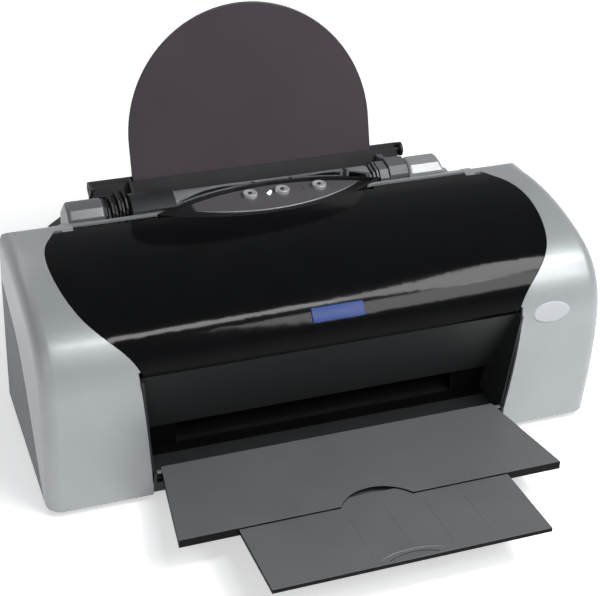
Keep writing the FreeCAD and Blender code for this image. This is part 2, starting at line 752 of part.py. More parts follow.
def feeder_cover_profile(t):
    """Side outline of a feeder cover, moved inwards by t."""
    rear, front = feeder_cover_rear - t, lip_front + t
    foot, top = body_top + 0.5, feeder_top - t
    return [(front, foot), (front, feeder_top - 7.5 - t / 2), (front + 4.5 - t / 2, top - 2),
            (front + 12.5 - t, top), (rear - 11 + t * 2 / 3, top - 1),
            (rear, feeder_top - 12.5 - t / 2), (rear, foot)]


def make_feeder_cover(x0, x1):
    cover = slab_x(feeder_cover_profile(0), x0, x1)
    edges = [e for e in cover.Edges if e.BoundBox.XLength < 0.01 and e.BoundBox.ZMin > deck_z]
    front, rear = lip_front - 1, feeder_cover_rear + 1
    hollow = slab_x(feeder_cover_profile(wall), x0 + wall, x1 - wall)
    foot = box(x0 + wall, x1 - wall, lip_front + wall, feeder_cover_rear - wall, body_top, body_top + 3)
    plate_room = [box(feeder_right - 1, feeder_right + beside_plate, front, rear, body_top, deck_z - 0.6),
                  box(feeder_left - beside_plate, feeder_left + 2, front, rear, body_top, deck_z - 0.6)]
    return cover.makeFillet(3.0, edges).cut(hollow).cut(Part.makeCompound([foot] + plate_room))


def make_right_feeder_cover(x1):
    """The right cover's outer face slopes in above a low flange."""
    def slope(t):
        low = body_top + 0.5 + cover_flange_t - t
        return slab_y([(right_cover_foot - t, low), (x1 + 1, low), (x1 + 1, feeder_top + 9),
                       (right_cover_top - t, feeder_top + 9)], lip_front - 1, feeder_cover_rear + 1)

    solid = slab_x(feeder_cover_profile(0), right_cover_left, x1).cut(slope(0))
    edges = [e for e in solid.Edges if e.BoundBox.ZMin > deck_z and
             (e.BoundBox.XLength < 0.01 or e.BoundBox.XMin > right_cover_top - 5
              and e.BoundBox.YLength > 0.1)]
    hollow = slab_x(feeder_cover_profile(wall), right_cover_left + wall, x1 - wall).cut(slope(wall))
    foot = box(right_cover_left + wall, right_cover_foot - wall, lip_front + wall, feeder_cover_rear - wall,
               body_top, body_top + 3)
    plate_room = box(feeder_right - 1, feeder_right + beside_plate, lip_front - 1, feeder_cover_rear + 1,
                     body_top, deck_z - 0.6)
    return solid.makeFillet(3.0, edges).cut(hollow).cut(Part.makeCompound([foot, plate_room]))


def lip_profile(t):
    front, rear = lip_front + t, lip_rear - t
    return [(front, lip_low), (front, 160.5 - t / 2), (165 + t / 2, 164 - t), (173, lip_crest - t),
            (178, lip_crest - 1 - t), (rear, 157 - t), (rear, lip_low)]


def make_lip(x0, x1):
    bar = slab_x(lip_profile(0), x0, x1)
    under = [(y, z - (0.5 if z == lip_low else 0)) for y, z in lip_profile(2.0)]
    hollow = slab_x(under, x0 + 2, x1 - 2)
    return bar.cut(hollow).cut(eye_prism(eye_gap, lip_low - 1, 200))


def make_lip_whole():
    bar = make_lip(lip_left, lip_right)
    inner_rim = eye_prism(eye_gap + 2, lip_low, 160).cut(eye_prism(eye_gap, lip_low - 1, 200))
    inner_rim = inner_rim.common(slab_x(lip_profile(0), lip_left, lip_right))
    return fuse(bar, inner_rim)


def make_edge_guide(rim_z):
    grip = guide_gap
    outer = [(lip_front - 2.4, rim_z + 0.6), (lip_front - 2.4, 162), (164, 166.5), (173, 168.8), (179, 167.8),
             (lip_rear + 2.4, 159.3), (lip_rear + 2.4, 153), (lip_front + 5, rim_z + 0.6)]
    cut = [(lip_front - grip, 150), (lip_front - grip, 160.7 + grip / 2), (165 - 0.2, 164 + grip),
           (173, 166 + grip), (178.2, 165 + grip), (lip_rear + grip, 157 + grip), (lip_rear + grip, 150)]
    saddle = slab_x(outer, guide_left, guide_right).cut(slab_x(cut, guide_left - 1, guide_right + 1))
    swing = math.tan(math.radians(hopper_swing))
    low = -88
    rear_gap = hopper_t + 0.6
    wall_points = [lean_point(-14, rear_gap), lean_point(low, rear_gap + (hopper_pin_q - low) * swing),
                   lean_point(low, rear_gap + (hopper_pin_q - low) * swing + 6), lean_point(-50, 12),
                   (lip_rear + grip, 146), (lip_rear + grip, 159)]
    plate = slab_x(wall_points, guide_wall_x, guide_wall_x + guide_wall_t)
    return fuse(saddle, plate)


def step_profile(top, rear):
    """Side outline of a step that follows the lip's crest."""
    low, y = deck_z + 0.5, lip_front + 2
    return [(y, low), (y, top - 7), (168, top - 1.5), (180, top), (rear, top - 5), (rear, low)]


def step_ribs(x0, x1, tops):
    """Narrow ribs side by side on a floor plate."""
    ribs = [slab_x(step_profile(top, lip_rear - 1), x0 + i * rib_pitch, x0 + (i + 0.55) * rib_pitch)
            for i, top in enumerate(tops)]
    return ribs + [box(x0, x1, lip_front + 3, lip_rear - 1, deck_z + 0.5, deck_z + 2.5)]


def make_fixed_guide():
    wall_x = fixed_guide_x
    rear_gap = hopper_t + 0.6
    block = slab_x(step_profile(168, lip_rear), guide_block_left, right_cover_left - 0.4)
    low, front = deck_z + 0.5, lip_front + 2
    wall_plate = slab_x([(front, low), (front, 160), (180, 167), (lip_rear + 6, 160.5),
                         lean_point(-22, rear_gap), lean_point(-30, rear_gap + 1.2), (lip_rear, low)],
                        wall_x, wall_x + 5.5)
    grip = slab_x(step_profile(166, lip_rear - 1), step_left + 3 * rib_pitch, guide_block_left - 0.8)
    ribs = step_ribs(step_left, guide_block_left + 1, (162, 164, 166))
    return fuse(block, wall_plate, grip, *ribs).cut(eye_prism(eye_gap, deck_z, 200))


def make_left_step():
    """The ribbed dark step between the left feeder cover and the edge guide."""
    x0, x1 = feeder_left + 1.9, guide_left - 0.6
    base = box(feeder_left - 1, x1, lip_rear + 3, lip_rear + 5, deck_z - 4, 160)
    link = box(x0, x1, lip_rear - 2, lip_rear + 4, deck_z + 0.5, deck_z + 2.5)
    return fuse(base, link, *step_ribs(x0, x1, (166, 164, 168, 166, 170, 168, 171)))


# ---- gears and rollers ----
def gear(count, centre, phase):
    """A spur gear with straight-sided teeth, one tooth pointing at the phase angle."""
    pitch_r = count * module / 2
    tip, root = pitch_r + 0.8 * module, pitch_r - 1.15 * module
    step = 2 * math.pi / count
    points = []
    for i in range(count):
        mid = math.radians(phase) + i * step
        for r, part in ((root, -0.30), (pitch_r, -0.225), (tip, -0.12), (tip, 0.12), (pitch_r, 0.225),
                        (root, 0.30)):
            a = mid + part * step
            points.append((centre[0] + r * math.cos(a), centre[1] + r * math.sin(a)))
    return slab_x(points, gear_x, gear_x + gear_w)


def angle_between(a, b):
    return math.degrees(math.atan2(b[1] - a[1], b[0] - a[0]))


def meshing_phase(count, centre, other, other_count, other_phase):
    """Phase that puts a gap of this gear on a tooth of the other, along the line of centres."""
    to_me = angle_between(other, centre)
    turned = ((to_me - other_phase) / (360 / other_count)) % 1.0
    back = angle_between(centre, other)
    return back + (turned + 0.5) * 360 / count


def idler_axis():
    r1 = (teeth["drive"] + teeth["idler"]) * module / 2 + mesh_play
    r2 = (teeth["exit"] + teeth["idler"]) * module / 2 + mesh_play
    dy, dz = exit_axis[0] - drive_axis[0], exit_axis[1] - drive_axis[1]
    d = math.hypot(dy, dz)
    a = (r1 ** 2 - r2 ** 2 + d ** 2) / (2 * d)
    h = math.sqrt(r1 ** 2 - a ** 2)
    uy, uz = dy / d, dz / d
    return (drive_axis[0] + a * uy - h * uz, drive_axis[1] + a * uz + h * uy)


def pinion_axis():
    reach = (teeth["drive"] + teeth["pinion"]) * module / 2 + mesh_play
    a = math.radians(pinion_angle)
    return (drive_axis[0] + reach * math.cos(a), drive_axis[1] + reach * math.sin(a))


def bored(shape, centre, r):
    return shape.cut(rod_x(gear_x - 1, gear_x + gear_w + 1, centre[0], centre[1], r))


def make_gears():
    places = {"drive": drive_axis, "idler": idler_axis(), "pinion": pinion_axis(), "feed": feed_axis(),
              "exit": exit_axis}
    phases = {"drive": 0.0}
    for name in ("idler", "pinion", "feed"):
        phases[name] = meshing_phase(teeth[name], places[name], drive_axis, teeth["drive"], 0.0)
    phases["exit"] = meshing_phase(teeth["exit"], exit_axis, places["idler"], teeth["idler"], phases["idler"])
    bores = {"drive": shaft_r, "feed": shaft_r, "exit": exit_shaft_r, "idler": 2 + running_fit, "pinion": 1.5}
    return {name: bored(gear(teeth[name], places[name], phases[name]), places[name], bores[name])
            for name in places}


def make_drive_roller():
    y, z = drive_axis
    ends = roller_half + 6
    roller = rod_x(-roller_half, roller_half, y, z, drive_r)
    return fuse(roller, rod_x(gear_x, ends, y, z, shaft_r))


def pinch_axis():
    return (drive_axis[0] + 1.5, drive_axis[1] + drive_r + pinch_r + nip_gap)


def make_pinch_rollers():
    y, z = pinch_axis()
    rollers = [rod_x(x - 14, x + 14, y, z, pinch_r) for x in range(-100, 101, 40)]
    return fuse(rod_x(-122, 122, y, z, 1.5), *rollers)


def make_pinch_holder():
    y, z = pinch_axis()
    plate = box(-inner_plate_x + 0.3, inner_plate_x - 0.3, y - 3, y + 7, z + pinch_r + 0.6, z + pinch_r + 2.4)
    arms = [box(x - 2, x + 2, y - 3, y + 3, z - 2.5, z + pinch_r + 1) for x in range(-120, 121, 40)]
    holder = fuse(plate, *arms)
    return holder.cut(rod_x(-130, 130, y, z, 1.5 + running_fit))


def make_exit_roller():
    y, z = exit_axis
    rings = [rod_x(x - 5, x + 5, y, z, exit_r) for x in range(-96, 97, 32)]
    return fuse(rod_x(gear_x, roller_half + 6, y, z, exit_shaft_r), *rings)


def star_axis():
    return (exit_axis[0], exit_axis[1] + exit_r + star_r + nip_gap)


def make_star_wheels():
    y, z = star_axis()
    wheels = []
    for x in range(-96, 97, 32):
        points = []
        for i in range(24):
            r = star_r if i % 2 else star_r - 1.4
            a = i * math.pi / 12
            points.append((y + r * math.cos(a), z + r * math.sin(a)))
        wheels.append(slab_x(points, x - 0.6, x + 0.6))
    return fuse(rod_x(-122, 122, y, z, 1.0), *wheels)


def make_star_holder():
    y, z = star_axis()
    plate = box(-inner_plate_x + 0.3, inner_plate_x - 0.3, y - 5, y + 5, z + star_r + 0.6, z + star_r + 2.2)
    arms = [box(x - 1.5, x + 1.5, y - 3, y + 3, z - 2.2, z + star_r + 1) for x in range(-112, 113, 32)]
    return fuse(plate, *arms).cut(rod_x(-130, 130, y, z, 1 + running_fit))


def make_platen():
    y0, y1 = head_front - 3, head_rear + 3
    base = box(-inner_plate_x + 0.3, inner_plate_x - 0.3, y0, y1, platen_top - 5, platen_top - 3)
    ribs = [box(x - 1, x + 1, y0, y1, platen_top - 3.5, platen_top) for x in range(-112, 113, 16)]
    legs = [box(x - 4, x + 4, y0, y0 + 2.5, frame_floor, platen_top - 4) for x in (-118, 118)]
    return fuse(base, *ribs, *legs)


# ---- frame ----
def make_frame():
    t = sheet_metal
    h = frame_half
    base = box(-h, h, frame_front, frame_rear, floor_top, frame_floor)
    sides = both(box(h - t, h, frame_front, frame_rear, floor_top, frame_top))
    inner_points = [(66, floor_top), (66, 64), (82, 64), (82, platen_top - 7), (114, platen_top - 7),
                    (114, 71), (135, 71), (135, floor_top)]
    inner = both(slab_x(inner_points, inner_plate_x, inner_plate_x + t))
    back = box(-h, h, back_plate_y, back_plate_y + t, back_plate_low + 2, frame_top)
    shafts = []
    for (y, z), r in ((drive_axis, shaft_r), (exit_axis, exit_shaft_r), (feed_axis(), shaft_r)):
        shafts.append(rod_x(gear_x, h + 1, y, z, r + running_fit))
    fy, fz = feed_axis()
    window = box(feeder_left - 6, feeder_right + 6, back_plate_y - 1, back_plate_y + t + 1, back_plate_low,
                 fz + feed_tyre_r + 4)
    frame = fuse(base, *sides.Solids, *inner.Solids, back).cut(window)
    py, pz = pinion_axis()
    frame = frame.cut(rod_x(-h - 1, -h + t + 1, py, pz, 2.5))
    gy, gz = guide_shaft_axis
    frame = frame.cut(rod_x(-h - 1, h + 1, gy, gz, guide_shaft_r))
    frame = frame.cut(Part.makeCompound(shafts))
    iy, iz = idler_axis()
    stub = rod_x(gear_x - 0.5, -h + t, iy, iz, 2)
    motor_hole = rod_y(back_plate_y - 1, back_plate_y + t + 1, -pulley_x, pulley_z, 3)
    idler_pin = rod_y(belt_y - 1, back_plate_y + 0.5, pulley_x, pulley_z, 2)
    return fuse(frame, stub, idler_pin).cut(motor_hole)


def make_feed_motor():
    y, z = pinion_axis()
    x0 = -frame_half + sheet_metal
    body = rod_x(x0, x0 + 26, y, z, 14)
    return fuse(body, rod_x(x0 + 26, x0 + 28, y, z, 5))


def make_pinion(gear_shape):
    y, z = pinion_axis()
    return fuse(gear_shape, rod_x(gear_x, -frame_half + sheet_metal - 0.1, y, z, 1.5))


def make_guide_shaft():
    y, z = guide_shaft_axis
    return rod_x(-frame_half - 1.5, frame_half + 1.5, y, z, guide_shaft_r)


# ---- carriage ----
def make_carriage():
    x0, x1 = carriage_park, carriage_park + carriage_w
    y0, y1 = carriage_front, carriage_rear
    body = box(x0, x1, y0, y1, carriage_low, carriage_top)
    bay = box(x0 + 2, x1 - 2, y0 + 2, y1 - 3, carriage_low + 2.5, carriage_top + 1)
    body = body.cut(bay)
    gy, gz = guide_shaft_axis
    boss = fuse(box(x0, x1, y1 - 1, gy, gz - 8, gz + 8), rod_x(x0, x1, gy, gz, 7))
    clip = box(x0 + 30, x1 - 30, y1 - 1, belt_y - 0.3, pulley_z + pulley_r - 2, pulley_z + pulley_r + 3)
    ribs = [box(x0 + 2 + cartridge_pitch * i - 0.25, x0 + 2 + cartridge_pitch * i + 0.25, y0 + 1, y1 - 2,
                carriage_low + 2, carriage_low + 20) for i in (1, 2, 3)]
    carriage = fuse(body, boss, clip, *ribs)
    neck = box(x0 + 13.7, x1 - 13.7, head_front - 0.3, head_rear + 0.3, carriage_low - 1, carriage_low + 1.5)
    return carriage.cut(rod_x(x0 - 1, x1 + 1, gy, gz, guide_shaft_r + running_fit)).cut(neck)


def make_head():
    x0, x1 = carriage_park + 14, carriage_park + carriage_w - 14
    return box(x0, x1, head_front, head_rear, head_low, carriage_low + 1.5)


def make_cartridge(i):
    x0 = carriage_park + 2 + cartridge_pitch * i + (cartridge_pitch - cartridge_w) / 2
    y0, y1 = carriage_front + 2.5, carriage_rear - 3.5
    body = box(x0, x0 + cartridge_w, y0, y1, carriage_low + 2.5, cartridge_top)
    rib = box(x0 + 4, x0 + cartridge_w - 4, y0 + 6, y0 + 9, cartridge_top - 1, cartridge_top + 3)
    vertical = [e for e in body.Edges if e.BoundBox.ZLength > 10]
    return fuse(body.makeFillet(1.2, vertical), rib)


def make_clamp():
    x0, x1 = carriage_park, carriage_park + carriage_w
    top = box(x0, x1, carriage_front, carriage_rear, carriage_top + 0.3, carriage_top + 2.8)
    grip = box(x0 + 20, x1 - 20, carriage_front - 4, carriage_front + 1,
               carriage_top + 0.3, carriage_top + 2.8)
    windows = [box(x0 + 6 + cartridge_pitch * i, x0 + 2 + cartridge_pitch * i + 14, carriage_front + 14,
                   carriage_rear - 10, carriage_top, carriage_top + 5) for i in range(4)]
    return fuse(top, grip).cut(Part.makeCompound(windows))


def make_belt():
    def loop(r):
        a, b = Vector(-pulley_x, belt_y, pulley_z - r), Vector(pulley_x, belt_y, pulley_z - r)
        c, d = Vector(pulley_x, belt_y, pulley_z + r), Vector(-pulley_x, belt_y, pulley_z + r)
        right = Part.Arc(b, Vector(pulley_x + r, belt_y, pulley_z), c).toShape()
        left = Part.Arc(d, Vector(-pulley_x - r, belt_y, pulley_z), a).toShape()
        face = Part.Face(Part.Wire([Part.makeLine(a, b), right, Part.makeLine(c, d), left]))
        return face.extrude(Vector(0, belt_w, 0))

    inner = pulley_r + 0.3
    return loop(inner + belt_t).cut(loop(inner))


def make_pulley(x, bore, stem):
    pulley = rod_y(belt_y, belt_y + belt_w, x, pulley_z, pulley_r)
    if bore:
        return pulley.cut(rod_y(belt_y - 1, belt_y + belt_w + 1, x, pulley_z, bore))
    return fuse(pulley, rod_y(belt_y, stem, x, pulley_z, 1.5))


def make_carriage_motor():
    y0 = back_plate_y + sheet_metal
    body = rod_y(y0, y0 + 23, -pulley_x + 8, pulley_z, 13)
    return body.cut(rod_y(y0 - 1, y0 + 3.5, -pulley_x, pulley_z, 2))


def make_encoder_strip():
    h = frame_half - sheet_metal
    strip = box(-h, h, back_plate_y - 2.6, back_plate_y - 2.3, frame_top - 8, frame_top - 1)
    hooks = [box(x - 3, x + 3, back_plate_y - 2.5, back_plate_y, frame_top - 6, frame_top - 3)
             for x in (-h + 6, h - 6)]
    return fuse(strip, *hooks)


def make_capping():
    x0, x1 = carriage_park + 16, carriage_park + carriage_w - 10
    base = box(x0, x1, head_front - 2, head_rear + 2, frame_floor, head_low - cap_gap - 4)
    return fuse(base, box(x0 - 6, x0 - 4, head_front + 2, head_rear - 2, frame_floor, head_low - cap_gap - 1),
                box(x0 - 7, x0 + 1, head_front, head_rear, frame_floor, frame_floor + 3))


def make_cap():
    x0, x1 = carriage_park + 22, carriage_park + carriage_w - 18
    z0, z1 = head_low - cap_gap - 4, head_low - cap_gap
    cap = box(x0, x1, head_front + 2, head_rear - 2, z0, z1)
    return cap.cut(box(x0 + 2, x1 - 2, head_front + 4, head_rear - 4, z0 + 1.5, z1 + 1))


def make_board():
    x0 = frame_half + 1.5
    board = box(x0, x0 + board_t, 64, 152, 40, 110)
    face = x0 + board_t - 0.1
    chips = [box(face, face + 2.6, y, y + 16, z, z + 16) for y, z in ((72, 50), (98, 70))]
    caps = [rod_x(face, face + 4.6, y, 96, 4) for y in (76, 90, 104, 120)]
    offs = [rod_x(frame_half, x0 + 0.5, y, z, 2.5) for y in (70, 146) for z in (46, 104)]
    return fuse(board, *chips, *caps, *offs)


def make_power_supply():
    x0, x1 = -body_half + 2 * wall + inner_fit + 0.5, feeder_left - side_plate_t - 1
    return box(x0, x1, 172, 216, floor_top, 86).cut(box(x0 + 1, x1 - 1, 173, 215, floor_top + 1, 85))


def inlet_block(inset, y0, y1):
    """The inlet's outline between two y values, moved inwards."""
    hx, hz = inlet_half[0] - inset, inlet_half[1] - inset
    return box(inlet_x - hx, inlet_x + hx, y0, y1, inlet_z - hz, inlet_z + hz)


def make_inlet():
    y1 = body_rear + 0.6
    body = inlet_block(0, y1 - 16, y1).cut(inlet_block(2.5, y1 - 13, y1 + 1))
    pins = [rod_y(y1 - 14, y1 - 4, inlet_x + d, inlet_z, 1.2) for d in (-4.3, 4.3)]
    return fuse(body, *pins)


def make_usb():
    y1 = body_rear + 0.4
    shell = box(usb_x - 8, usb_x + 8, y1 - 16, y1, usb_z - 7, usb_z + 7)
    shell = shell.cut(box(usb_x - 6.5, usb_x + 6.5, y1 - 12, y1 + 1, usb_z - 5.7, usb_z + 5.7))
    return fuse(shell, box(usb_x - 3, usb_x + 3, y1 - 13, y1 - 3, usb_z - 1.6, usb_z + 1.6))


def build():
    os.makedirs("parts", exist_ok=True)
    shell = case_shell()
    case, hinge_z = make_case(shell)
    rim_z = top_z(shell, cover_rear_y)
    parts = {"upper_case": case, "lower_case": make_lower_case(), "front_panel": make_front_panel(),
             "left_side_panel": make_side_panel(shell, -1), "right_side_panel": make_side_panel(shell, 1),
             "rear_cover": make_rear_cover(), "rear_screws": make_rear_screws(), "rubber_feet": make_feet(),
             "printer_cover": make_cover(shell, hinge_z), "name_badge": make_badge(shell)}
    parts["control_panel"] = make_control_panel(rim_z)
    for name, x in button_xs.items():
        parts[name + "_button"] = make_button(x, rim_z)
    parts["indicator_lenses"] = make_lamps(rim_z)
    parts["button_board"] = make_button_board(rim_z)
    parts["output_tray"] = make_tray()
    parts["tray_extension"] = make_extension()
    parts["paper_support"] = make_support()
    parts["feeder_frame"] = fuse(make_feeder_frame(), make_left_step())
    parts["hopper_plate"] = make_hopper()
    parts["hopper_springs"] = make_hopper_springs()
    outer = body_half - feeder_cover_inset
    parts["feeder_left_cover"] = make_feeder_cover(-outer, feeder_left + 1.4)
    parts["feeder_right_cover"] = make_right_feeder_cover(outer)
    parts["feeder_lip"] = Part.makeCompound([make_lip_whole(), make_lip(lip_right + lip_seam, lip_end_right)])
    parts["edge_guide"] = make_edge_guide(rim_z)
    parts["fixed_edge_guide"] = make_fixed_guide()
    fy, fz = feed_axis()
    gears = make_gears()
    feed_shaft = rod_x(gear_x, feeder_right + side_plate_t + 2, fy, fz, shaft_r)
    parts["feed_shaft"] = Part.makeCompound([feed_shaft, gears["feed"]])
    parts["feed_tyres"] = Part.makeCompound([rod_x(x, x + 22, fy, fz, feed_tyre_r).cut(
        rod_x(x - 1, x + 23, fy, fz, shaft_r)) for x in (-61, 39)])
    parts["separation_pad"] = make_separation_pad()
    parts["idler_gear"] = gears["idler"]
    parts["motor_pinion"] = make_pinion(gears["pinion"])
    parts["feed_motor"] = make_feed_motor()
    parts["drive_roller"] = Part.makeCompound([make_drive_roller(), gears["drive"]])
    parts["pinch_rollers"] = make_pinch_rollers()
    parts["pinch_holder"] = make_pinch_holder()
    parts["exit_roller"] = Part.makeCompound([make_exit_roller(), gears["exit"]])
    parts["star_wheels"] = make_star_wheels()
    parts["star_holder"] = make_star_holder()
    parts["platen"] = make_platen()
    parts["main_frame"] = make_frame()
    parts["guide_shaft"] = make_guide_shaft()
    parts["carriage"] = make_carriage()
    parts["print_head"] = make_head()
    for i, ink in enumerate(("black", "cyan", "magenta", "yellow")):
        parts["cartridge_" + ink] = make_cartridge(i)
    parts["cartridge_clamp"] = make_clamp()
    parts["carriage_belt"] = make_belt()
    parts["motor_pulley"] = make_pulley(-pulley_x, 0, back_plate_y + sheet_metal + 3)
    parts["idler_pulley"] = make_pulley(pulley_x, 2 + running_fit, 0)
    parts["carriage_motor"] = make_carriage_motor()
    parts["encoder_strip"] = make_encoder_strip()
    parts["capping_station"] = Part.makeCompound([make_capping(), make_cap()])
    parts["waste_ink_pad"] = box(-110, 110, head_front + 2, head_rear, frame_floor, 30)
    parts["main_board"] = make_board()
    parts["power_supply"] = make_power_supply()
    parts["power_inlet"] = make_inlet()
    parts["usb_socket"] = make_usb()
    for name, shape in parts.items():
        save(name, shape)
    return parts


parts = build()
print(len(parts), "nodes, all valid:", all(shape.isValid() for shape in parts.values()))
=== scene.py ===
"""A desktop inkjet sheet printer: the finished looks of its pieces.

The file is laid out as an add-on and is run as a script.
"""
import json
import math

import bmesh
import bpy
from mathutils import Matrix, Vector
from mathutils.bvhtree import BVHTree

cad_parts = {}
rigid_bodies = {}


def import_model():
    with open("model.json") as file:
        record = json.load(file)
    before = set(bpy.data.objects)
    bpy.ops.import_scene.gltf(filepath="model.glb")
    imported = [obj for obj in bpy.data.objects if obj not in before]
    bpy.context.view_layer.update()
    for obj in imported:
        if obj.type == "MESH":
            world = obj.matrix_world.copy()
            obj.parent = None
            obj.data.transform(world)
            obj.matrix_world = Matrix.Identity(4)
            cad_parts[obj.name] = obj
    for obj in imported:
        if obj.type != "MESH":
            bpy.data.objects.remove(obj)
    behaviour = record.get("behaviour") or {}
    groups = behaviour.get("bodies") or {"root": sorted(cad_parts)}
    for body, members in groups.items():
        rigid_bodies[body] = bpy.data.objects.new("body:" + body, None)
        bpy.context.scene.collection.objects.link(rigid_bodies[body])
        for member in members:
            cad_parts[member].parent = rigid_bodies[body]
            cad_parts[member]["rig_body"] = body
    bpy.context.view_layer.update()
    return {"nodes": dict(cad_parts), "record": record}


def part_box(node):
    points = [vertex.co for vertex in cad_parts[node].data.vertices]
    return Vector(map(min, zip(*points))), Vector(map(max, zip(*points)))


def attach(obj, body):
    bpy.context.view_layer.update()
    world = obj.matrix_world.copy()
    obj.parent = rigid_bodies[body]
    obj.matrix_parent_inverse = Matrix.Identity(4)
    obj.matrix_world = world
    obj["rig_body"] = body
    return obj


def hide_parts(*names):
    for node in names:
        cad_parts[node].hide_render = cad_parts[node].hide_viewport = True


bl_info = {
    "name": "Inkjet Sheet Printer",
    "version": (1, 0, 0),
    "blender": (4, 5, 0),
    "location": "3D View > Sidebar > Printer",
    "description": "Dresses the packed solids of a desktop inkjet printer with finished pieces and materials",
    "category": "Object",
}

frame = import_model()
SLOTS = {row["node"]: row["material_slot"] for row in frame["record"]["subparts"]}
MM = 0.001
SHIFT_Y = 0.048678  # how far the frame's origin lies behind the wings' front
MERGE = 1e-6  # vertices nearer than this are one
SLIVER = 1e-7  # edges and faces thinner than this are taken out
SOFT_LIMIT = math.radians(32)  # edges of a solid that turn more than this stay sharp
TURNED_LIMIT = math.radians(35)  # the same on a turned piece
BEVEL_LIMIT = math.radians(40)  # edges that turn more than this get their fine radius
SEED = 7  # of the random turn of repeated pieces
TREES = {}  # search tree of each solid that a ray is cast at


# ---------------------------------------------------------------- shader helpers

class Nodes:
    """Adds shader nodes to one material and joins them."""

    def __init__(self, name):
        self.material = bpy.data.materials.new(name)
        self.material.use_nodes = True
        self.tree = self.material.node_tree
        self.tree.nodes.clear()
        self.shader = self.add("ShaderNodeBsdfPrincipled")
        output = self.add("ShaderNodeOutputMaterial")
        self.link(self.shader.outputs["BSDF"], output.inputs["Surface"])
        self.coordinates = self.add("ShaderNodeTexCoord").outputs["Object"]

    def add(self, kind, **values):
        node = self.tree.nodes.new(kind)
        for key, value in values.items():
            if key in node.inputs:
                node.inputs[key].default_value = value
            else:
                setattr(node, key, value)
        return node

    def link(self, source, target):
        self.tree.links.new(source, target)

    def mapped(self, scale):
        mapping = self.add("ShaderNodeMapping", Scale=scale)
        self.link(self.coordinates, mapping.inputs["Vector"])
        return mapping.outputs["Vector"]

    def noise(self, size, detail=2.0, source=None):
        node = self.add("ShaderNodeTexNoise", Scale=1.0 / size, Detail=detail)
        self.link(source or self.coordinates, node.inputs["Vector"])
        return node.outputs["Fac"]

    def ranged(self, source, low, high, start=0.3, end=0.7):
        node = self.add("ShaderNodeMapRange")
        node.inputs["From Min"].default_value = start
        node.inputs["From Max"].default_value = end
        node.inputs["To Min"].default_value = low
        node.inputs["To Max"].default_value = high
        self.link(source, node.inputs["Value"])
        return node.outputs["Result"]

    def mixed(self, factor, first, second):
        node = self.add("ShaderNodeMix", data_type="RGBA")
        for socket, value in ((node.inputs[6], first), (node.inputs[7], second)):
            if isinstance(value, bpy.types.NodeSocket):
                self.link(value, socket)
            else:
                socket.default_value = (*value, 1.0)
        self.link(factor, node.inputs[0])
        return node.outputs[2]

    def bump(self, height, depth, strength=1.0):
        node = self.add("ShaderNodeBump", Strength=strength, Distance=depth)
        self.link(height, node.inputs["Height"])
        return node.outputs["Normal"]

    def surface(self, colour=None, roughness=None, normal=None, **uniform):
        for socket, value in (("Base Color", colour), ("Roughness", roughness), ("Normal", normal)):
            if value is not None:
                self.link(value, self.shader.inputs[socket])
        for key, value in uniform.items():
            self.shader.inputs[key.replace("_", " ")].default_value = value
        return self.material


def shade(colour, factor):
    return tuple(min(1.0, channel * factor) for channel in colour)


def moulded(name, colour, rough=0.5, grain=0.5 * MM, depth=0.02 * MM, spread=0.06, **uniform):
    """Injection-moulded plastic: a fine spark grain, slow clouds of shade and slightly uneven gloss."""
    n = Nodes(name)
    clouds = n.noise(45 * MM, 3.0)
    speckle = n.noise(grain * 1.7, 1.0)
    tone = n.mixed(n.ranged(clouds, 0, 1), shade(colour, 1 - spread), shade(colour, 1 + spread))
    tone = n.mixed(n.ranged(speckle, 0.0, 0.35), tone, shade(colour, 1 + 2 * spread))
    gloss = n.ranged(n.noise(9 * MM, 2.0), rough - 0.04, rough + 0.05)
    return n.surface(tone, gloss, n.bump(n.noise(grain, 2.0), depth), **uniform)


def silver_paint(name, colour):
    """Satin silver lacquer over moulded plastic: flakes in a clear coat."""
    n = Nodes(name)
    flakes = n.add("ShaderNodeTexVoronoi", Scale=1.0 / (0.35 * MM))
    n.link(n.coordinates, flakes.inputs["Vector"])
    clouds = n.noise(60 * MM, 2.0)
    tone = n.mixed(n.ranged(clouds, 0, 1), shade(colour, 0.96), shade(colour, 1.04))
    sparkle = n.add("ShaderNodeSeparateColor")
    n.link(flakes.outputs["Color"], sparkle.inputs["Color"])
    tone = n.mixed(n.ranged(sparkle.outputs["Red"], 0.0, 0.16, 0.0, 1.0), tone, shade(colour, 1.35))
    gloss = n.ranged(sparkle.outputs["Green"], 0.34, 0.46, 0.0, 1.0)
    return n.surface(tone, gloss, n.bump(n.noise(0.8 * MM), 0.006 * MM), Metallic=0.35, Coat_Weight=0.25,
                     Coat_Roughness=0.16)


def gloss_black(name, colour):
    """Polished black: a faint moulding ripple and fine rubbing marks in the gloss."""
    n = Nodes(name)
    marks = n.noise(1.2 * MM, 4.0, n.mapped((1, 14, 14)))
    tone = n.mixed(n.ranged(n.noise(30 * MM), 0, 1), shade(colour, 0.85), shade(colour, 1.2))
    gloss = n.ranged(marks, 0.07, 0.13)
    return n.surface(tone, gloss, n.bump(n.noise(22 * MM, 1.0), 0.02 * MM, 0.5), Specular_IOR_Level=0.17)


def smoked_sheet(name, colour):
    """Smoked translucent sheet, nearly opaque, with a plum cast."""
    n = Nodes(name)
    tone = n.mixed(n.ranged(n.noise(70 * MM), 0, 1), shade(colour, 0.94), shade(colour, 1.06))
    gloss = n.ranged(n.noise(6 * MM, 3.0), 0.09, 0.13)
    return n.surface(tone, gloss, n.bump(n.noise(35 * MM), 0.03 * MM, 0.4), Transmission_Weight=0.12,
                     Specular_IOR_Level=0.22)


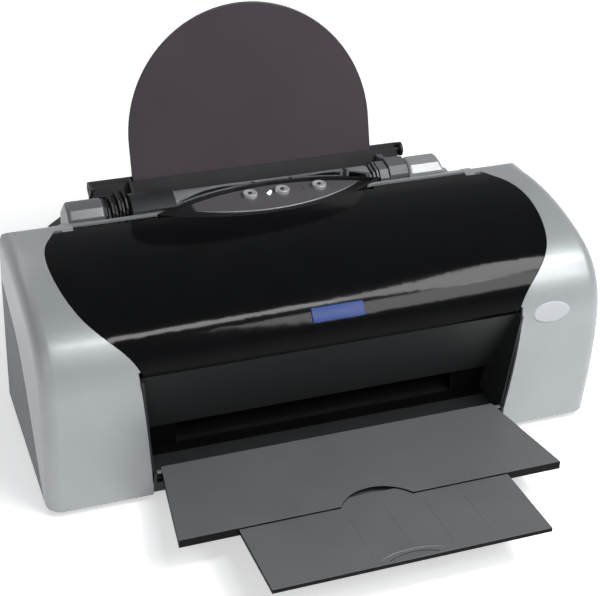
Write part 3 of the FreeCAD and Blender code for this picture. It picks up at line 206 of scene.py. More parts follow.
def brushed_metal(name, colour, rough):
    """Zinc-plated or ground steel, with fine lines drawn along X."""
    n = Nodes(name)
    lines = n.noise(2.5 * MM, 3.0, n.mapped((1, 40, 40)))
    tone = n.mixed(n.ranged(n.noise(18 * MM), 0, 1), shade(colour, 0.9), shade(colour, 1.08))
    gloss = n.ranged(lines, rough - 0.08, rough + 0.1)
    return n.surface(tone, gloss, n.bump(lines, 0.01 * MM), Metallic=1.0)


def rubber(name, colour, grain=0.6 * MM):
    """Soft black or grey rubber: matt, with an open grain."""
    n = Nodes(name)
    tone = n.mixed(n.ranged(n.noise(4 * MM), 0, 1), shade(colour, 0.8), shade(colour, 1.3))
    gloss = n.ranged(n.noise(2 * MM), 0.7, 0.85)
    return n.surface(tone, gloss, n.bump(n.noise(grain), 0.04 * MM), Specular_IOR_Level=0.3)


def fibre(name, colour, grain):
    """Felt or cork: matt, mottled and open."""
    n = Nodes(name)
    speckle = n.noise(grain, 4.0)
    tone = n.mixed(n.ranged(speckle, 0, 1), shade(colour, 0.7), shade(colour, 1.25))
    return n.surface(tone, n.ranged(speckle, 0.85, 0.98), n.bump(speckle, 0.2 * MM))


def circuit(name, colour):
    """Lacquered circuit board with faint copper runs under the green."""
    n = Nodes(name)
    runs = n.add("ShaderNodeTexBrick", Scale=220.0)
    n.link(n.coordinates, runs.inputs["Vector"])
    tone = n.mixed(n.ranged(runs.outputs["Fac"], 0.0, 1.0, 0.0, 1.0), colour, shade(colour, 1.9))
    return n.surface(tone, n.ranged(n.noise(5 * MM), 0.25, 0.4), n.bump(runs.outputs["Fac"], 0.02 * MM))


def eye_shelf(name, inside, shadow_colour):
    """Plum grey inside the shelf's circle, with black painted shadow around the circle, past the lip's left
    end and up the wall.
    """
    n = Nodes(name)
    sizes = bpy.context.scene.printer_sizes
    blend = 0.1 * MM  # half width of the change from plum to the black painted shadow along the lip
    wall_foot, wall_shadow_full = 0.2 * MM, 0.4 * MM  # the black painted shadow comes in on the wall between these heights above the shelf
    side = 3 * MM  # the shelf turns to black painted shadow within this, past the lip's left end
    centre, radius = circle_through(*shelf_points(sizes))
    away = n.add("ShaderNodeVectorMath", operation="DISTANCE")
    flat = n.add("ShaderNodeVectorMath", operation="MULTIPLY")
    flat.inputs[1].default_value = (1, 1, 0)
    n.link(n.coordinates, flat.inputs[0])
    n.link(flat.outputs["Vector"], away.inputs[0])
    away.inputs[1].default_value = (centre.x, centre.y, 0)
    painted_shadow_share = n.ranged(away.outputs["Value"], 0, 1, radius - blend, radius + blend)
    split = n.add("ShaderNodeSeparateXYZ")
    n.link(n.coordinates, split.inputs["Vector"])
    level = sizes.shelf_level
    above = n.ranged(split.outputs["Z"], 0, 1, level + wall_foot, level + wall_shadow_full)
    left = n.ranged(split.outputs["X"], 1, 0, sizes.shelf_left[0] - side, sizes.shelf_left[0])
    for other in (above, left):
        most = n.add("ShaderNodeMath", operation="MAXIMUM")
        n.link(painted_shadow_share, most.inputs[0])
        n.link(other, most.inputs[1])
        painted_shadow_share = most.outputs["Value"]
    grain = n.noise(0.7 * MM, 3.0)
    base = n.mixed(n.ranged(grain, 0, 1), shade(inside, 0.93), shade(inside, 1.07))
    return n.surface(n.mixed(painted_shadow_share, base, shadow_colour), n.ranged(grain, 0.34, 0.42),
                     n.bump(grain, 0.01 * MM))


def clear_lens(name, colour, emission=0.0):
    """Clear plastic, which may glow."""
    n = Nodes(name)
    tone = n.mixed(n.ranged(n.noise(1.5 * MM), 0, 1), shade(colour, 0.9), shade(colour, 1.1))
    return n.surface(tone, n.ranged(n.noise(1 * MM), 0.08, 0.16), Transmission_Weight=0.35,
                     Emission_Color=(*colour, 1.0), Emission_Strength=emission)


def make_finishes(colours):
    """One material for each finish slot of the record."""
    c = {key: tuple(getattr(colours, key)) for key in colours.bl_rna.properties.keys()
         if key not in ("rna_type", "name")}
    return {
        "silver_casing": silver_paint("satin_silver", c["silver"]),
        "side_grey": moulded("side_grey_grain", c["side_grey"], 0.5, 0.8 * MM, 0.05 * MM),
        "gloss_black": gloss_black("polished_black", c["black"]),
        "dark_grey": moulded("charcoal_grain", c["dark_grey"], 0.52, 0.6 * MM, 0.04 * MM),
        "tray_grey": moulded("tray_grain", c["tray_grey"], 0.5, 0.6 * MM, 0.04 * MM),
        "base_black": moulded("base_grain", c["base_black"], 0.55, 0.9 * MM, 0.06 * MM),
        "smoked": smoked_sheet("smoked_plum", c["smoked"]),
        "button_silver": silver_paint("button_lacquer", c["button"]),
        "lens_clear": clear_lens("lamp_lens", shade(c["lens"], 0.2), 0.02),
        "blue_plate": moulded("blue_enamel", c["blue"], 0.22, 1.2 * MM, 0.004 * MM, 0.05,
                              Specular_IOR_Level=0.2),
        "foot_rubber": rubber("foot_rubber_black", (0.02, 0.02, 0.021)),
        "roller_rubber": rubber("roller_rubber_grey", (0.06, 0.06, 0.062), 0.3 * MM),
        "screw_steel": brushed_metal("screw_zinc", (0.5, 0.49, 0.46), 0.32),
        "frame_steel": brushed_metal("frame_zinc", (0.55, 0.55, 0.56), 0.4),
        "white_nylon": moulded("nylon_natural", (0.62, 0.61, 0.56), 0.45, 0.5 * MM, 0.01 * MM),
        "inner_black": moulded("inner_black_grain", (0.018, 0.018, 0.02), 0.55, 0.7 * MM, 0.05 * MM),
        "ink_cyan": moulded("ink_cyan_case", (0.02, 0.32, 0.55), 0.3, 0.8 * MM, 0.01 * MM),
        "ink_magenta": moulded("ink_magenta_case", (0.55, 0.03, 0.22), 0.3, 0.8 * MM, 0.01 * MM),
        "ink_yellow": moulded("ink_yellow_case", (0.75, 0.55, 0.03), 0.3, 0.8 * MM, 0.01 * MM),
        "cork": fibre("cork_pad", (0.32, 0.2, 0.11), 1.2 * MM),
        "felt": fibre("ink_felt", (0.55, 0.54, 0.5), 0.5 * MM),
        "board_green": circuit("board_lacquer", (0.01, 0.09, 0.04)),
        "strip_clear": clear_lens("strip_film", (0.35, 0.37, 0.38)),
        # near black painted shade for the tray's upright faces
        "tray_edge": moulded("tray_edge_grain", (0.006, 0.006, 0.007), 0.55, 0.6 * MM, 0.03 * MM,
                             Specular_IOR_Level=0.1),
        # near black painted shade for the sill inside the paper outlet
        "outlet_black": moulded("outlet_black_grain", (0.002, 0.002, 0.0022), 0.6, 0.6 * MM, 0.03 * MM,
                                Specular_IOR_Level=0.08),
        "guide_grey": moulded("guide_grain", c["guide_grey"], 0.45, 0.6 * MM, 0.03 * MM),
        # the grip's crescent is lighter than the tray as a painted highlight along its crest
        "grip_highlight": moulded("tray_worn_grain", c["grip_highlight"], 0.45, 0.6 * MM, 0.03 * MM),
        "smoked_rim": moulded("smoked_rim_grain", c["smoked_rim"], 0.3, 0.9 * MM, 0.004 * MM, 0.05),
        # the two feeder covers share one lacquer: the left is darkened as painted shade, the right lightened
        # as painted light
        "feeder_silver": silver_paint("feeder_lacquer", c["feeder_silver"]),
        "feeder_pale": silver_paint("feeder_pale_lacquer", c["feeder_pale"]),
        "bar_silver": silver_paint("bar_lacquer", c["bar_silver"]),
        # the bowl's material paints the shadow in the control bowl black
        "eye_shelf": eye_shelf("eye_bowl", c["shelf"], c["shelf_black"]),
        "shelf_lip": moulded("shelf_lip_gloss", c["shelf_lip"], 0.25, 0.9 * MM, 0.003 * MM, 0.05),
        "pale_label": moulded("blank_label_film", c["label"], 0.5, 1.4 * MM, 0.002 * MM, 0.03),
        "lens_lit": clear_lens("lamp_lens_lit", c["lens"], 1.2),
    }


# ---------------------------------------------------------------- mesh helpers

def show(obj, *materials):
    bpy.context.scene.collection.objects.link(obj)
    for material in materials:
        obj.data.materials.append(material)
    return obj


def finished(obj):
    """Puts the evaluated mesh in place of a piece's modifiers."""
    depsgraph = bpy.context.evaluated_depsgraph_get()
    mesh = bpy.data.meshes.new_from_object(obj.evaluated_get(depsgraph))
    obj.modifiers.clear()
    old, obj.data = obj.data, mesh
    bpy.data.meshes.remove(old)


def smoothed(node, piece, edge=0.0, segments=2, cuts=None, flatten=0.4):
    """A merged copy of a solid, with soft shading on its curves and a fine radius on its edges.

    Faces that turn less than flatten degrees from each other become one. cuts is a point and a
    normal of a plane that parts the faces it crosses.
    """
    mesh = frame["nodes"][node].data.copy()
    mesh.name = piece
    mesh.materials.clear()
    bm = bmesh.new()
    bm.from_mesh(mesh)
    bmesh.ops.remove_doubles(bm, verts=bm.verts, dist=MERGE)
    bmesh.ops.dissolve_degenerate(bm, edges=bm.edges, dist=SLIVER)
    if flatten:
        bmesh.ops.dissolve_limit(bm, angle_limit=math.radians(flatten), verts=bm.verts, edges=bm.edges)
    if cuts:
        every = bm.verts[:] + bm.edges[:] + bm.faces[:]
        bmesh.ops.bisect_plane(bm, geom=every, plane_co=cuts[0], plane_no=cuts[1], dist=MERGE)
    bm.to_mesh(mesh)
    bm.free()
    if "custom_normal" in mesh.attributes:
        mesh.attributes.remove(mesh.attributes["custom_normal"])
    mesh.shade_smooth()
    mesh.set_sharp_from_angle(angle=SOFT_LIMIT)
    obj = bpy.data.objects.new(piece, mesh)
    bpy.context.scene.collection.objects.link(obj)
    if edge:
        bevel = obj.modifiers.new("edge", "BEVEL")
        bevel.width = edge
        bevel.segments = segments
        bevel.limit_method = "ANGLE"
        bevel.angle_limit = BEVEL_LIMIT
        bevel.use_clamp_overlap = True
        bevel.harden_normals = True
        finished(obj)
    return obj


def body_of(node):
    return frame["nodes"][node]["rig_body"]


def place(obj, node):
    """Lets a finished piece stand for a node."""
    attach(obj, body_of(node))
    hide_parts(node)


def dress(node, piece, material, **shape):
    """Puts a smooth copy of one solid in its place, with its finish."""
    obj = smoothed(node, piece, **shape)
    obj.data.materials.append(material)
    place(obj, node)


def paint(obj, index, chosen):
    """Gives a material slot to the faces whose centre and normal are chosen."""
    for face in obj.data.polygons:
        if chosen(face.center, face.normal):
            face.material_index = index


def local_y(distance):
    """The frame's y of a distance behind the wings' front."""
    return distance - SHIFT_Y


def surface(node, start, direction):
    """Where a ray meets a solid, and the normal there."""
    if node not in TREES:
        mesh = frame["nodes"][node].data
        TREES[node] = BVHTree.FromPolygons([vertex.co.copy() for vertex in mesh.vertices],
                                           [tuple(face.vertices) for face in mesh.polygons])
    point, normal, _, _ = TREES[node].ray_cast(start, direction)
    if point is None:
        raise RuntimeError(node + " isn't met by the ray")
    return point, normal


def surface_z(node, x, y):
    """Height of a solid's upper face at a point."""
    return surface(node, Vector((x, y, 1.0)), Vector((0, 0, -1)))[0].z


def bar(name, length, width, height):
    """A bar along X with a rounded top, its foot sunk a little."""
    sink = height / 2
    shoulder = 0.4  # share of the height that is below the round top
    outline = [(-width / 2, -sink), (-width / 2, height * shoulder)]
    outline += [(-width / 2 * math.cos(a), height * (shoulder + (1 - shoulder) * math.sin(a)))
                for a in (math.radians(d) for d in (25, 50, 75, 105, 130, 155))]
    outline += [(width / 2, height * shoulder), (width / 2, -sink)]
    bm = bmesh.new()
    ends = [[bm.verts.new((x, y, z)) for y, z in outline] for x in (-length / 2, length / 2)]
    count = len(outline)
    for k in range(count):
        bm.faces.new((ends[0][k], ends[0][(k + 1) % count], ends[1][(k + 1) % count], ends[1][k]))
    bm.faces.new(ends[0])
    bm.faces.new(ends[1])
    bmesh.ops.recalc_face_normals(bm, faces=bm.faces)
    mesh = bpy.data.meshes.new(name)
    bm.to_mesh(mesh)
    bm.free()
    return show(bpy.data.objects.new(name, mesh))


def turned(name, profile, centre):
    """A body turned about Z from points of radius and height in millimetres."""
    steps = 32
    bm = bmesh.new()
    rings = []
    for r, z in profile:
        if r == 0:
            rings.append([bm.verts.new(centre + Vector((0, 0, z * MM)))] * steps)
        else:
            rings.append([bm.verts.new(centre + Vector((r * MM * math.cos(a), r * MM * math.sin(a), z * MM)))
                          for a in (2 * math.pi * k / steps for k in range(steps))])
    for lower, upper in zip(rings, rings[1:]):
        for k in range(steps):
            corners = (lower[k], lower[(k + 1) % steps], upper[(k + 1) % steps], upper[k])
            bm.faces.new(list(dict.fromkeys(corners)))
    if profile[-1][0]:
        bm.faces.new(rings[-1])
    bmesh.ops.recalc_face_normals(bm, faces=bm.faces)
    mesh = bpy.data.meshes.new(name)
    bm.to_mesh(mesh)
    bm.free()
    mesh.shade_smooth()
    mesh.set_sharp_from_angle(angle=TURNED_LIMIT)
    return show(bpy.data.objects.new(name, mesh))


def swept(piece, path, radius, material, node):
    """Lays a round strip along a smooth path, tapering off at its ends."""
    tip, growth = 0.15, 4.0  # share of the radius at an end, and how fast it grows along the strip
    curve = bpy.data.curves.new(piece, "CURVE")
    curve.dimensions = "3D"
    curve.bevel_depth = radius
    curve.bevel_resolution = 3
    spline = curve.splines.new("POLY")
    spline.points.add(len(path) - 1)
    for i, (point, corner) in enumerate(zip(spline.points, path)):
        point.co = (*corner, 1.0)
        point.radius = min(1.0, tip + growth * min(i, len(path) - 1 - i) / len(path))
    line = show(bpy.data.objects.new(piece + "_line", curve))
    depsgraph = bpy.context.evaluated_depsgraph_get()
    mesh = bpy.data.meshes.new_from_object(line.evaluated_get(depsgraph))
    bpy.data.objects.remove(line)
    mesh.materials.clear()
    mesh.shade_smooth()
    obj = show(bpy.data.objects.new(piece, mesh), material)
    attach(obj, body_of(node))


def repeat_group():
    """Node group: one piece on each point, with a seeded turn of its own, made real and finished."""
    group = bpy.data.node_groups.new("repeat_on_points", "GeometryNodeTree")
    interface = group.interface
    sockets = {}
    for name, kind in (("Points", "NodeSocketGeometry"), ("Piece", "NodeSocketObject"),
                       ("Turn", "NodeSocketVector"), ("Finish", "NodeSocketMaterial")):
        sockets[name] = interface.new_socket(name, in_out="INPUT", socket_type=kind).identifier
    interface.new_socket("Mesh", in_out="OUTPUT", socket_type="NodeSocketGeometry")
    given = group.nodes.new("NodeGroupInput")
    made = group.nodes.new("NodeGroupOutput")
    info = group.nodes.new("GeometryNodeObjectInfo")
    turn = group.nodes.new("FunctionNodeRandomValue")
    spread = group.nodes.new("GeometryNodeInstanceOnPoints")
    real = group.nodes.new("GeometryNodeRealizeInstances")
    finish = group.nodes.new("GeometryNodeSetMaterial")
    turn.data_type = "FLOAT_VECTOR"
    turn.inputs["Seed"].default_value = SEED
    turn.inputs["Min"].default_value = (0, 0, 0)
    for source, target in ((given.outputs["Points"], spread.inputs["Points"]),
                           (given.outputs["Piece"], info.inputs["Object"]),
                           (info.outputs["Geometry"], spread.inputs["Instance"]),
                           (given.outputs["Turn"], turn.inputs["Max"]),
                           (turn.outputs["Value"], spread.inputs["Rotation"]),
                           (spread.outputs["Instances"], real.inputs["Geometry"]),
                           (real.outputs["Geometry"], finish.inputs["Geometry"]),
                           (given.outputs["Finish"], finish.inputs["Material"]),
                           (finish.outputs["Geometry"], made.inputs["Mesh"])):
        group.links.new(source, target)
    return group, sockets


def repeated(piece, points, source, turn, material, node, replaces=False):
    """Puts a copy of the source piece on each point, through the node group, as one plain mesh."""
    mesh = bpy.data.meshes.new(piece)
    mesh.from_pydata([tuple(point) for point in points], [], [])
    obj = show(bpy.data.objects.new(piece, mesh))
    group, sockets = repeat_group()
    modifier = obj.modifiers.new("repeat", "NODES")
    modifier.node_group = group
    modifier[sockets["Piece"]] = source
    modifier[sockets["Turn"]] = turn
    modifier[sockets["Finish"]] = material
    finished(obj)
    bpy.data.objects.remove(source)
    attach(obj, body_of(node))
    if replaces:
        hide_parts(node)


def shelf_points(sizes):
    """The left end, the foremost point and the right end of the shelf's lip."""
    return [Vector((x, local_y(y))) for x, y in (sizes.shelf_left, sizes.shelf_front, sizes.shelf_right)]


def shelf_arc(sizes, steps):
    """Points along the shelf's front lip, an arc through its ends and its foremost point."""
    a, b, c = shelf_points(sizes)
    centre, radius = circle_through(a, b, c)
    start, end = (math.atan2(p.y - centre.y, p.x - centre.x) for p in (a, c))
    angles = (start + (end - start) * i / steps for i in range(steps + 1))
    return [(centre.x + radius * math.cos(t), centre.y + radius * math.sin(t)) for t in angles]


def circle_through(a, b, c):
    """Centre and radius of the circle through three points."""
    d = 2 * (a.x * (b.y - c.y) + b.x * (c.y - a.y) + c.x * (a.y - b.y))
    x = (a.length_squared * (b.y - c.y) + b.length_squared * (c.y - a.y) + c.length_squared * (a.y - b.y)) / d
    y = (a.length_squared * (c.x - b.x) + b.length_squared * (a.x - c.x) + c.length_squared * (b.x - a.x)) / d
    centre = Vector((x, y))
    return centre, (a - centre).length


def foot_centres(node, radius):
    """Centres of the feet, from the corners of their solids' outline."""
    mesh = frame["nodes"][node].data
    xs = [vertex.co.x for vertex in mesh.vertices]
    ys = [vertex.co.y for vertex in mesh.vertices]
    front, rear = min(ys) + radius, max(ys) - radius
    wide = max(xs) - radius
    narrow = max(x for x, y in zip(xs, ys) if y > (front + rear) / 2) - radius
    return [(side * x, y, 0.0) for side in (-1, 1) for x, y in ((wide, front), (narrow, rear))]


# ---------------------------------------------------------------- settings

def colour_setting(name, description, default):
    return bpy.props.FloatVectorProperty(name=name, description=description, default=default, subtype="COLOR",
                                         size=3, min=0.0, max=1.0)


class PrinterColours(bpy.types.PropertyGroup):
    """Colours of the finishes that show."""
    silver: colour_setting("Silver", "Lacquer of the wings and the casing", (0.365, 0.385, 0.395))
    side_grey: colour_setting("Side grey", "Grained side panels", (0.10, 0.11, 0.12))
    black: colour_setting("Black", "Polished cover", (0.0025, 0.0027, 0.003))
    dark_grey: colour_setting("Charcoal", "Front panel and edge guide", (0.013, 0.0142, 0.015))
    tray_grey: colour_setting("Tray grey", "Output tray and its extension", (0.125, 0.132, 0.135))
    base_black: colour_setting("Base", "Lower case and rear", (0.03, 0.031, 0.033))
    smoked: colour_setting("Smoked", "Paper support", (0.062, 0.05, 0.062))
    button: colour_setting("Button", "Button caps", (0.5, 0.5, 0.52))
    lens: colour_setting("Lamp", "Indicator lenses", (0.75, 0.85, 0.78))
    blue: colour_setting("Plate", "Blank name plate", (0.012, 0.045, 0.205))
    # lighter than the tray: a painted highlight along the grip's raised crest
    grip_highlight: colour_setting("Grip", "Raised crescent of the extension's grip", (0.19, 0.2, 0.205))
    smoked_rim: colour_setting("Rim", "Rim of the paper support", (0.035, 0.03, 0.036))
    # one lacquer for both feeder covers: the left colour is darker as painted shade, the right colour lighter
    # as painted light
    feeder_silver: colour_setting("Left cover", "Lacquer of the feeder's left cover", (0.15, 0.157, 0.16))
    feeder_pale: colour_setting("Right cover", "Lacquer of the feeder's right cover", (0.33, 0.342, 0.348))
    bar_silver: colour_setting("Bar", "Bar along the feeder's mouth", (0.24, 0.25, 0.255))
    shelf: colour_setting("Shelf", "Shelf of the control bowl", (0.10, 0.092, 0.105))
    # black painted shadow in the control bowl, under the hood behind the buttons and around the shelf
    shelf_black: colour_setting("Bowl", "Wall of the control bowl", (0.008, 0.008, 0.009))
    shelf_lip: colour_setting("Shelf lip", "Light lip along the shelf", (0.3, 0.31, 0.33))
    guide_grey: colour_setting("Fixed guide", "Fixed edge guide and its block", (0.105, 0.11, 0.115))
    label: colour_setting("Label", "Blank oval label", (0.52, 0.54, 0.56))


class PrinterStage(bpy.types.PropertyGroup):
    """The floor, the lamps and the camera."""
    azimuth: bpy.props.FloatProperty(name="Azimuth", description="Camera angle round the printer",
                                     default=math.radians(-22.162), subtype="ANGLE")
    elevation: bpy.props.FloatProperty(name="Elevation", description="Camera angle above the floor",
                                       default=math.radians(32.627), subtype="ANGLE")
    roll: bpy.props.FloatProperty(name="Roll", description="Camera turn about its own line of sight",
                                  default=math.radians(3.225), subtype="ANGLE")
    distance: bpy.props.FloatProperty(name="Distance", description="Camera to its target",
                                      default=1.16018, unit="LENGTH")
    target: bpy.props.FloatVectorProperty(name="Target", description="Point that the camera looks at",
                                          default=(-0.032532, -0.039566, 0.15809), subtype="TRANSLATION",
                                          size=3)
    lens: bpy.props.FloatProperty(name="Lens", description="Focal length on a 36 mm sensor, in millimetres",
                                  default=94.474, min=1.0)
    floor_colour: colour_setting("Floor", "Plain pale floor", (0.93, 0.93, 0.93))
    floor_glow: bpy.props.FloatProperty(name="Floor glow",
                                        description="White added to the floor where it is seen, mirrored or "
                                                    "seen through a piece, which lights nothing",
                                        default=0.5, min=0.0)


def length_setting(name, description, default):
    return bpy.props.FloatProperty(name=name, description=description, default=default, unit="LENGTH",
                                   precision=5)


def pair_setting(name, description, default):
    return bpy.props.FloatVectorProperty(name=name, description=description, default=default,
                                         subtype="XYZ_LENGTH", size=2)


class PrinterSizes(bpy.types.PropertyGroup):
    """Sizes of the finished pieces that the solids leave plain."""
    # the sill behind this is painted near black as the outlet's shade
    outlet_shade_y: length_setting("Outlet shade", "Where the sill turns dark, behind the wings' front",
                                   0.030)
    outlet_top: length_setting("Outlet top", "Top of the dark outlet", 0.0449)
    outlet_half: length_setting("Outlet half width", "Half width of the dark outlet", 0.118)
    sill_ribs: bpy.props.IntProperty(name="Sill ribs", description="Ribs across the sill", default=3, min=1)
    sill_first_y: length_setting("First rib", "Foremost rib of the sill, behind the wings' front", 0.0195)
    sill_pitch: length_setting("Rib pitch", "From one rib of the sill to the next", 0.004)
    tray_tilt: bpy.props.FloatProperty(name="Tray tilt", description="Rise of the tray to its front",
                                       default=math.radians(4.0), subtype="ANGLE")
    extension_rib_length: length_setting("Extension ribs", "Length of the ribs on the extension", 0.052)
    extension_rib_inset: length_setting("Rib inset", "From the extension's front edge to its ribs", 0.012)
    crescent_y: length_setting("Grip place", "From the extension's front edge to the grip's crest", 0.011)
    crescent_half: length_setting("Grip half width", "Half width of the raised grip", 0.025)
    crescent_rise: length_setting("Grip rise", "Depth of the grip's curve", 0.004)
    sheet_lean: bpy.props.FloatProperty(name="Sheet lean", description="Lean of the sheets from upright",
                                        default=math.radians(18.9), subtype="ANGLE")
    shelf_left: pair_setting("Shelf left", "Left end of the shelf's lip", (-0.066, 0.1545))
    shelf_front: pair_setting("Shelf front", "Foremost point of the shelf's lip", (-0.006, 0.1423))
    shelf_right: pair_setting("Shelf right", "Right end of the shelf's lip", (0.076, 0.1657))
    shelf_level: length_setting("Shelf level", "Height of the control bowl's floor", 0.1567)
    foot_radius: length_setting("Foot radius", "Radius of a foot", 0.008)
    label_x: length_setting("Label x", "Middle of the blank label, from the printer's middle", 0.1815)
    label_z: length_setting("Label height", "Middle of the blank label, above the floor", 0.1092)
    label_half: pair_setting("Label half size", "Half width and half height", (0.0165, 0.0085))


# ---------------------------------------------------------------- stage

FLOOR_REACH = 6.0  # half width of the floor, in metres
HORIZON = (0.08, (0.80, 0.80, 0.81, 1.0))  # height from 0 to 1, and colour
SKY = (0.40, (0.20, 0.205, 0.215, 1.0))
LAMP_AIM = (0.0, 0.0, 0.1)
LAMPS = (  # name, place, width and height in metres, power in watts
    ("key", (0.66, -0.36, 1.20), (0.55, 0.32), 7.0),
    ("front", (0.75, -1.05, 1.25), (0.7, 0.5), 8.5),
    ("crest", (0.22, -0.62, 1.30), (0.5, 0.16), 4.0),
    ("fill", (-1.25, -1.1, 0.95), (1.1, 0.9), 2.5),
    ("back", (-0.5, 1.6, 1.3), (1.2, 0.6), 2.5),
)


def make_world():
    """A pale horizon under a dimmer sky."""
    world = bpy.data.worlds.new("soft_world")
    world.use_nodes = True
    tree = world.node_tree
    tree.nodes.clear()
    direction = tree.nodes.new("ShaderNodeTexCoord")
    split = tree.nodes.new("ShaderNodeSeparateXYZ")
    ramp = tree.nodes.new("ShaderNodeValToRGB")
    for stop, (height, colour) in zip(ramp.color_ramp.elements, (HORIZON, SKY)):
        stop.position = height
        stop.color = colour
    background = tree.nodes.new("ShaderNodeBackground")
    output = tree.nodes.new("ShaderNodeOutputWorld")
    tree.links.new(direction.outputs["Generated"], split.inputs["Vector"])
    tree.links.new(split.outputs["Z"], ramp.inputs["Fac"])
    tree.links.new(ramp.outputs["Color"], background.inputs["Color"])
    tree.links.new(background.outputs["Background"], output.inputs["Surface"])
    return world


# ---------------------------------------------------------------- operators

FINISH = {}  # materials by finish slot, once the finishes are made
PLATE_EDGE = 0.75  # a face whose normal rises less than this is the edge of a lying plate
SILL_RIB = (1.1 * MM, 0.9 * MM)  # width and height
SILL_RIB_OVERHANG = 34 * MM  # how much longer than the outlet's width a rib of the sill is
EXTENSION_RIB = (0.9 * MM, 0.3 * MM)  # width and height
EXTENSION_RIB_SINK = 0.12 * MM
EXTENSION_RIB_XS = (-28, 3, 34, 65)  # in millimetres
CRESCENT_RADIUS = 0.55 * MM
CRESCENT_LIFT = 0.05 * MM
CRESCENT_CURL = 1.5  # how far the grip's ends turn back
SHELF_LIP_RADIUS = 0.7 * MM
SHELF_LIP_LIFT = 0.2 * MM
LAMP_WINDOW = ((-1.9, 164.6), (-1.0, 166.0), (0.2, 168.0), (1.4, 170.0), (2.2, 171.4))  # x and depth, in mm
LAMP_WINDOW_RADIUS = 1.3 * MM
LAMP_WINDOW_LIFT = 0.5 * MM
LIT_LENS_REACH = 8 * MM  # the lens nearer the middle than this is lit
BUTTON_MARK = ((0, 0.25), (0.9, 0.22), (1.5, 0.1), (1.7, -0.2))  # radius and height, in millimetres
FOOT_HOLLOW = ((0, 0.8), (2.2, 0.8), (2.6, 0.0), (4.4, 0.0), (4.8, 0.7), (5.4, 0.7), (5.8, 0.0))  # the same
LABEL_LIFT = 0.12 * MM
LABEL_THICKNESS = 0.1 * MM
LABEL_RINGS = 6
LABEL_STEPS = 40


class PRINTER_OT_stage(bpy.types.Operator):
    """Lay the floor, hang the lamps and set the camera"""
    bl_idname = "printer.stage"
    bl_label = "Stage"

    def execute(self, context):
        stage = context.scene.printer_stage
        mesh = bpy.data.meshes.new("floor")
        corners = [(x * FLOOR_REACH, y * FLOOR_REACH, 0) for x, y in ((-1, -1), (1, -1), (1, 1), (-1, 1))]
        mesh.from_pydata(corners, [], [(0, 1, 2, 3)])
        floor = bpy.data.objects.new("floor", mesh)
        n = Nodes("floor_white")
        colour = tuple(stage.floor_colour)
        n.surface(n.mixed(n.ranged(n.noise(0.4), 0, 1), shade(colour, 0.99), shade(colour, 1.01)),
                  n.ranged(n.noise(0.2), 0.9, 0.95), Emission_Color=(1.0, 1.0, 1.0, 1.0))
        rays = n.add("ShaderNodeLightPath")
        seen = rays.outputs["Is Camera Ray"]
        for other in ("Is Glossy Ray", "Is Transmission Ray"):
            either = n.add("ShaderNodeMath", operation="MAXIMUM")
            n.link(seen, either.inputs[0])
            n.link(rays.outputs[other], either.inputs[1])
            seen = either.outputs["Value"]
        n.link(n.ranged(seen, 0.0, stage.floor_glow, 0.0, 1.0), n.shader.inputs["Emission Strength"])
        show(floor, n.material)

        context.scene.world = make_world()
        for name, place, size, power in LAMPS:
            lamp = bpy.data.lights.new(name, "AREA")
            lamp.shape = "RECTANGLE"
            lamp.size, lamp.size_y = size
            lamp.energy = power
            obj = bpy.data.objects.new(name, lamp)
            obj.location = place
            obj.rotation_euler = (Vector(place) - Vector(LAMP_AIM)).to_track_quat("Z", "Y").to_euler()
            context.scene.collection.objects.link(obj)

        camera = bpy.data.cameras.new("camera")
        camera.lens = stage.lens
        camera.sensor_fit = "HORIZONTAL"
        camera.clip_end = 50
        view = bpy.data.objects.new("camera", camera)
        a, e, r = stage.azimuth, stage.elevation, stage.roll
        back = Vector((math.sin(a) * math.cos(e), -math.cos(a) * math.cos(e), math.sin(e)))
        right = (-back).cross(Vector((0, 0, 1))).normalized()
        up = right.cross(-back)
        turned_right = right * math.cos(r) + up * math.sin(r)
        turned_up = up * math.cos(r) - right * math.sin(r)
        turn = Matrix((turned_right, turned_up, back)).transposed().to_4x4()
        view.matrix_world = Matrix.Translation(Vector(stage.target) + back * stage.distance) @ turn
        context.scene.collection.objects.link(view)
        context.scene.camera = view
        context.scene.view_settings.view_transform = "Standard"
        return {"FINISHED"}


class PRINTER_OT_finishes(bpy.types.Operator):
    """Make the finishes and give them to every solid"""
    bl_idname = "printer.finishes"
    bl_label = "Finishes"

    def execute(self, context):
        FINISH.update(make_finishes(context.scene.printer_colours))
        for name, obj in frame["nodes"].items():
            obj.data.materials.clear()
            obj.data.materials.append(FINISH[SLOTS[name]])
        return {"FINISHED"}


class PRINTER_OT_casing(bpy.types.Operator):
    """Dress the silver casing, its side panels and the base"""
    bl_idname = "printer.casing"
    bl_label = "Casing"

    def execute(self, context):
        dress("upper_case", "upper_case_skin", FINISH["silver_casing"], edge=0.35 * MM)
        for node in ("left_side_panel", "right_side_panel"):
            dress(node, node + "_skin", FINISH["side_grey"], edge=0.3 * MM)
        dress("lower_case", "lower_case_skin", FINISH["base_black"])
        dress("rear_cover", "rear_cover_skin", FINISH["base_black"], edge=0.6 * MM)
        return {"FINISHED"}


class PRINTER_OT_cover(bpy.types.Operator):
    """Dress the polished cover and its blank plate"""
    bl_idname = "printer.cover"
    bl_label = "Cover"

    def execute(self, context):
        dress("printer_cover", "printer_cover_skin", FINISH["gloss_black"], edge=0.3 * MM, flatten=0)
        dress("name_badge", "name_plate", FINISH["blue_plate"], edge=0.25 * MM)
        return {"FINISHED"}


